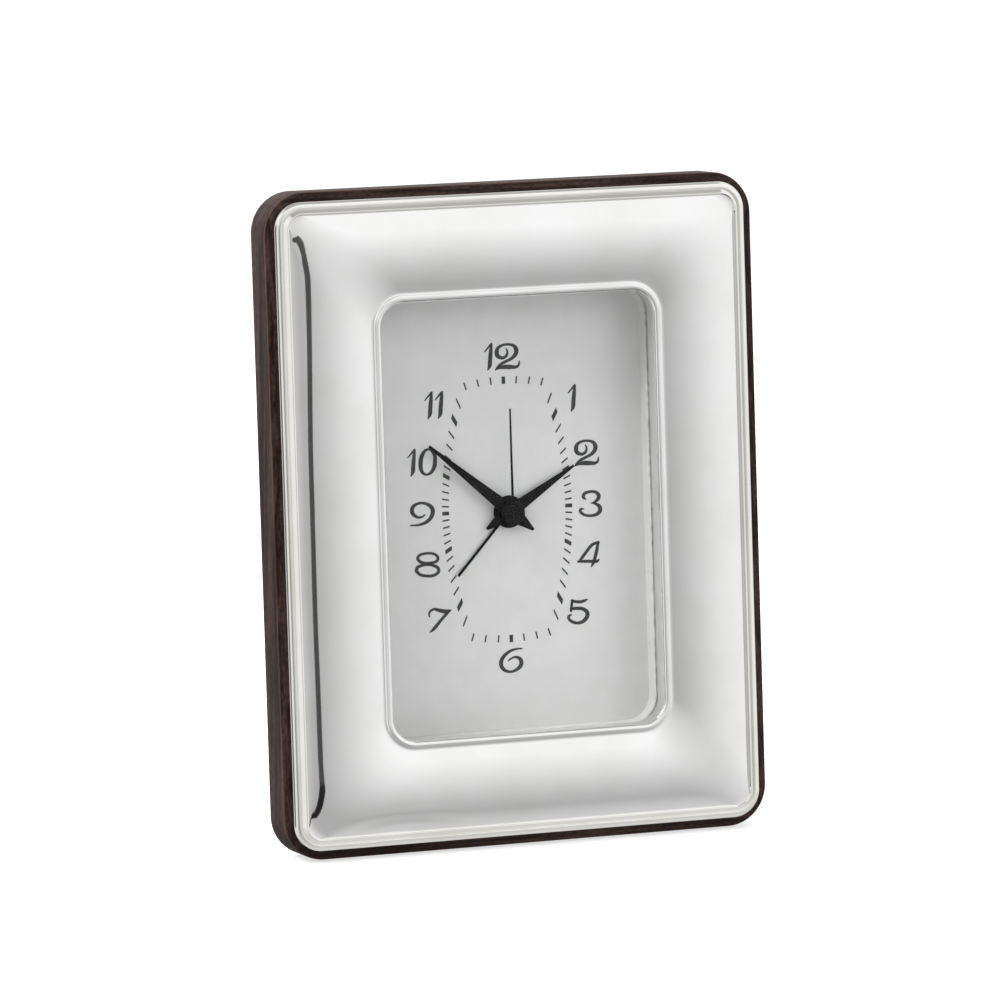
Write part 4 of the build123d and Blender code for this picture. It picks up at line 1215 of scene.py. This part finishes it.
def blade(root, tip, length):
    """Outline of a blade that points up, from half its width at the root and at the tip."""
    return [(-tip, length), (-root, 0), (root, 0), (tip, length)]


print("points round a turned form:", TURN_STEPS)

# %% Hour and minute hands
hand_thickness = 0.25
hand_root = 1.45
hand_tip = 0.25
hand_tail = 6.1
hand_tail_half = 2.0
hand_soften = 0.06
collet_radius = 2.3
collet_height = 0.6
collet_foot = (0.1, 0.1)
collet_top = (0.15, 0.15)
collet_end = 0.5


def pointed_hand(name, node, body, length, angle, lift):
    """Hour or minute hand: tapered blade, flared tail and collet."""
    back = dial_front + lift
    tail = [(-hand_tail_half, 0), (-hand_tip, -hand_tail), (hand_tip, -hand_tail), (hand_tail_half, 0)]
    forms = []
    for outline in (blade(hand_root, hand_tip, length), tail):
        forms.append(slab(clock_turn(outline, angle), back, back + hand_thickness))
    collet = disc(collet_radius, back, back + collet_height, collet_foot, collet_top, collet_end)
    forms.append(turned(collet, (0, 0)))
    piece(name, *join(forms), "hand_black", [node], body, soften=hand_soften)


pointed_hand("minute_blade", "minute_hand", "minute_work", length=22.7, angle=309.8, lift=2.0)
pointed_hand("hour_blade", "hour_hand", "hour_work", length=16.6, angle=58.5, lift=1.15)

# %% [markdown]
# The seconds hand is a needle under a round cap that covers the middle of all the hands. The alarm
# hand lies lowest and keeps the same width to its end.

# %% Seconds hand
needle_soften = 0.05
seconds_lift = 2.85
seconds_length = 21.3
seconds_root = 0.26
seconds_tip = 0.16
cap_radius = 2.45
cap_height = 0.9
cap_round = 0.45
cap_foot = 0.1
cap_crown = ((1.2, 0.005), (0.4, 0.0))

back = dial_front + seconds_lift
cap_top = back + cap_height
cap = [(cap_radius - cap_foot, back), (cap_radius, back + cap_foot)]
cap += round_over((cap_radius - cap_round, cap_top - cap_round), cap_round, 0, 75, 8)
cap += [(radius, cap_top - drop) for radius, drop in cap_crown]
needle = slab(blade(seconds_root, seconds_tip, seconds_length), back, back + hand_thickness)
seconds_form = join([needle, turned(cap, (0, 0))])
piece("seconds_needle", *seconds_form, "hand_black", ["seconds_hand"], "seconds_work", soften=needle_soften)

# %% Alarm hand
alarm_lift = 0.45
alarm_length = 16.9
alarm_half = 0.27
alarm_angle = 222.4
boss_radius = 3.35
boss_bevel = (0.1, 0.08)
boss_end = 1.6

back = dial_front + alarm_lift
front = back + hand_thickness
needle = slab(clock_turn(blade(alarm_half, alarm_half, alarm_length), alarm_angle), back, front)
boss = disc(boss_radius, back, front, boss_bevel, boss_bevel, boss_end)
alarm_form = join([needle, turned(boss, (0, 0))])
piece("alarm_needle", *alarm_form, "hand_black", ["alarm_hand"], "alarm_work", soften=needle_soften)

# %% [markdown]
# ## Setting knobs
#
# Two black knobs stand on the back of the movement, one for the time and one for the alarm. Each
# is a turned disc with soft flutes for the finger tips and a shallow dish in its end. The profile
# gives the inset from the rim, the height over the back, and how much of a flute is cut there.

# %% Setting knobs
knob_radius = 5.0
knob_front = -26.4
knob_back = -30.9
knob_bevel = 0.3
knob_flutes = 14
flute_depth = 0.45
flute_steps = 12
knob_end = (
    (0.0, 0.6, 1.0),
    (0.12, 0.25, 0.9),
    (0.4, 0.05, 0.6),
    (0.8, 0.0, 0.1),
    (1.3, 0.0, 0.0),
    (1.7, 0.3, 0.0),
    (4.5, 0.35, 0.0),
)


def setting_knob(name, node, body, joint):
    """Fluted knob on the axis of its joint."""
    gap = (Vector(joints[joint]["pos_m"]) - FACE) / MM
    place = (gap.dot(RIGHT), gap.dot(UP))
    profile = [(knob_radius - knob_bevel, knob_front, 0.6), (knob_radius, knob_front - knob_bevel, 1.0)]
    profile += [(knob_radius - inset, knob_back + rise, share) for inset, rise, share in knob_end]
    form = turned(profile, place, "front", knob_flutes, flute_depth, knob_flutes * flute_steps)
    piece(name, *form, "knob_plastic", [node], body)


setting_knob("time_grip", "time_knob", "motion_work", "motion_turn")
setting_knob("alarm_grip", "alarm_knob", "alarm_set", "alarm_set_turn")

# %% [markdown]
# ## Screws
#
# Small pan-head screws hold the clips, the movement and the hinge. Each is turned in one go from
# its point to its domed head. The cross in the head is cut out with a cross-shaped cutter, turned
# a little differently on each screw, as a hand leaves them.

# %% Screw helpers
screw_steps = 40
point_share = 0.3
point_length = 0.5
head_side = 0.35
crown_angles = (25, 45, 65, 80)
crown_end = 0.15
recess_floor = 0.3
recess_over = 0.3
recess_arm = 0.55
recess_half = 0.11
first_turn = 17
next_turn = 31


def cut_away(made, points, faces):
    """Take a form away from a piece."""
    cutter = bpy.data.objects.new("cutter", outward_mesh("cutter", points, faces))
    bpy.context.collection.objects.link(cutter)
    cut = made.modifiers.new("cut", "BOOLEAN")
    cut.object = cutter
    cut.operation = "DIFFERENCE"
    cut.solver = "EXACT"
    bpy.context.view_layer.update()
    shaped = bpy.data.meshes.new_from_object(made.evaluated_get(bpy.context.evaluated_depsgraph_get()))
    made.modifiers.remove(cut)
    made.data = shaped
    bpy.data.objects.remove(cutter)
    made.data.set_sharp_from_angle(angle=CREASE)


def cross_outline(arm, half, angle):
    """Corners of a cross with four arms, turned by an angle."""
    quarter = [(half, half), (half, arm), (-half, arm)]
    corners = []
    for step in range(4):
        corners += clock_turn(quarter, -90 * step + angle)
    return corners


def screw_set(name, node, body, places, seat, shank, head, lay):
    """Screws with domed heads and cross recesses.

    A shank is its radius and the place of its point. A head is its radius, its height and its slot.
    """
    shank_radius, shank_end = shank
    head_radius, head_height, slot = head
    way = -1 if shank_end > seat else 1
    profile = [(shank_radius * point_share, shank_end), (shank_radius, shank_end + way * point_length)]
    profile += [(shank_radius, seat), (head_radius, seat)]
    profile.append((head_radius, seat + way * head_side * head_height))
    for turn in map(radians, crown_angles):
        rise = head_side + (1 - head_side) * sin(turn)
        profile.append((head_radius * sqrt(cos(turn)), seat + way * head_height * rise))
    profile.append((crown_end, seat + way * head_height))
    form = join([turned(profile, place, lay, steps=screw_steps) for place in places])
    made = piece(name, *form, slot, [node], body)
    ends = (seat + way * head_height * recess_floor, seat + way * (head_height + recess_over))
    cutters = []
    for number, place in enumerate(places):
        angle = first_turn + next_turn * number
        cross = cross_outline(head_radius * recess_arm, head_radius * recess_half, angle)
        points, faces = slab(cross, min(ends), max(ends))
        cutters.append(([laid(place, *point, lay) for point in points], faces))
    cut_away(made, *join(cutters))


# %% Screws
clip_places = [(side * 40.2, end * 30.0) for side in (-1, 1) for end in (-1, 1)]
ear_places = [(-31.0, 0.0), (31.0, 0.0)]
hinge_heights = (-48.33, -37.67)
board_places = [(-9.6, height) for height in hinge_heights]
wing_places = [(height, -16.75) for height in hinge_heights]
steel = (1.9, 0.9, "screw_steel")
brass = (1.3, 0.45, "hinge_brass")
SCREWS = (
    ("clip_screw_set", "clip_screws", "frame", clip_places, -9.8, (0.9, -4.3), steel, "front"),
    ("ear_screw_set", "movement_screws", "frame", ear_places, -10.8, (0.9, -7.8), steel, "front"),
    ("board_leaf_set", "board_leaf_screws", "frame", board_places, -10.1, (0.7, -7.9), brass, "front"),
    ("wing_leaf_set", "wing_leaf_screws", "wing", wing_places, -3.05, (0.7, -0.85), brass, "side"),
)
for screws in SCREWS:
    screw_set(*screws)

# %% [markdown]
# ## Cell
#
# The cell lies across the open bay. It is turned about the clock's width: a drawn steel can with a
# nub at the plus end, and a shrunk plastic sleeve that curls a little over both shoulders. The
# sleeve stays plain. Each profile gives a radius and the distance from the nearer end.

# %% Cell
cell_place = (-19.1, -18.2)
cell_half = 25.25
cell_radius = 7.25
can_radius = 6.7
nub_radius = 2.75
can_minus = ((2.6, 0.0), (6.2, 0.0), (can_radius, 0.25), (can_radius, 1.2))
can_plus = ((can_radius, 2.2), (can_radius, 1.4), (6.3, 1.1), (3.6, 1.0), (2.9, 0.95))
nub = ((nub_radius, 0.7), (nub_radius, 0.15), (2.6, 0.0), (0.6, 0.0))
sleeve_minus = ((6.72, 0.3), (6.9, 0.18), (7.1, 0.25), (cell_radius, 0.55))
sleeve_plus = ((cell_radius, 1.75), (7.1, 1.4), (6.9, 1.3), (6.72, 1.4))


def cell_form(minus, plus):
    """Form turned about the cell's axis, from the profiles of its two ends."""
    profile = [(radius, -cell_half + gap) for radius, gap in minus]
    profile += [(radius, cell_half - gap) for radius, gap in plus]
    return turned(profile, cell_place, "side")


piece("cell_can", *cell_form(can_minus, can_plus + nub), "contact_steel", ["battery_cell"])
piece("cell_sleeve", *cell_form(sleeve_minus, sleeve_plus), "cell_jacket", finish=FINISHES["cell_sleeve"])

# %% [markdown]
# ## Alarm slide
#
# A small grey slide switches the alarm. Three grooves across its grip give the finger nail a hold.
# The side view of the grip is drawn once and stretched over its width. A flange behind it keeps the
# slide in the case.

# %% Alarm slide
slide_x = 13.0
slide_y = 18.5
slide_half = 2.0
slide_half_width = 1.3
slide_back = -27.5
slide_inside = -24.25
slide_bevel = 0.15
slide_soften = 0.05
groove_pitch = 1.1
groove_depth = 0.35
groove_half_top = 0.35
groove_half_floor = 0.2
flange_half = 3.5
flange_half_width = 2.8
flange_front = -22.75

grip = [(-slide_half, slide_inside)]
grip += [(-slide_half, slide_back + slide_bevel), (-slide_half + slide_bevel, slide_back)]
for groove in (-1, 0, 1):
    middle = groove * groove_pitch
    grip.append((middle - groove_half_top, slide_back))
    grip.append((middle - groove_half_floor, slide_back + groove_depth))
    grip.append((middle + groove_half_floor, slide_back + groove_depth))
    grip.append((middle + groove_half_top, slide_back))
grip += [(slide_half - slide_bevel, slide_back), (slide_half, slide_back + slide_bevel)]
grip.append((slide_half, slide_inside))
flat, grip_faces = slab(grip, slide_y - slide_half_width, slide_y + slide_half_width)
grip_form = ([(slide_x + x, y, depth) for x, depth, y in flat], grip_faces)
flange = [(slide_x + x * flange_half, slide_y + y * flange_half_width) for x, y in square]
slide_form = join([grip_form, slab(flange, slide_inside, flange_front)])
piece("alarm_grip_slide", *slide_form, "slide_plastic", ["alarm_slide"], "alarm_switch", soften=slide_soften)

# %% [markdown]
# ## Finishes for the other solids
#
# The remaining solids already have their true shape. The record names a slot for each of them, and
# each slot has a finish. The wing has its own wood, because it has no painted highlight on its front edge.

# %% Dress the solids
slot_of = {part["node"]: part["material_slot"] for part in frame["record"]["subparts"]}
for name, solid in frame["nodes"].items():
    solid.data.materials.clear()
    solid.data.materials.append(wing_wood if name == "strut_wing" else FINISHES[slot_of[name]])
print("solids dressed:", len(slot_of))
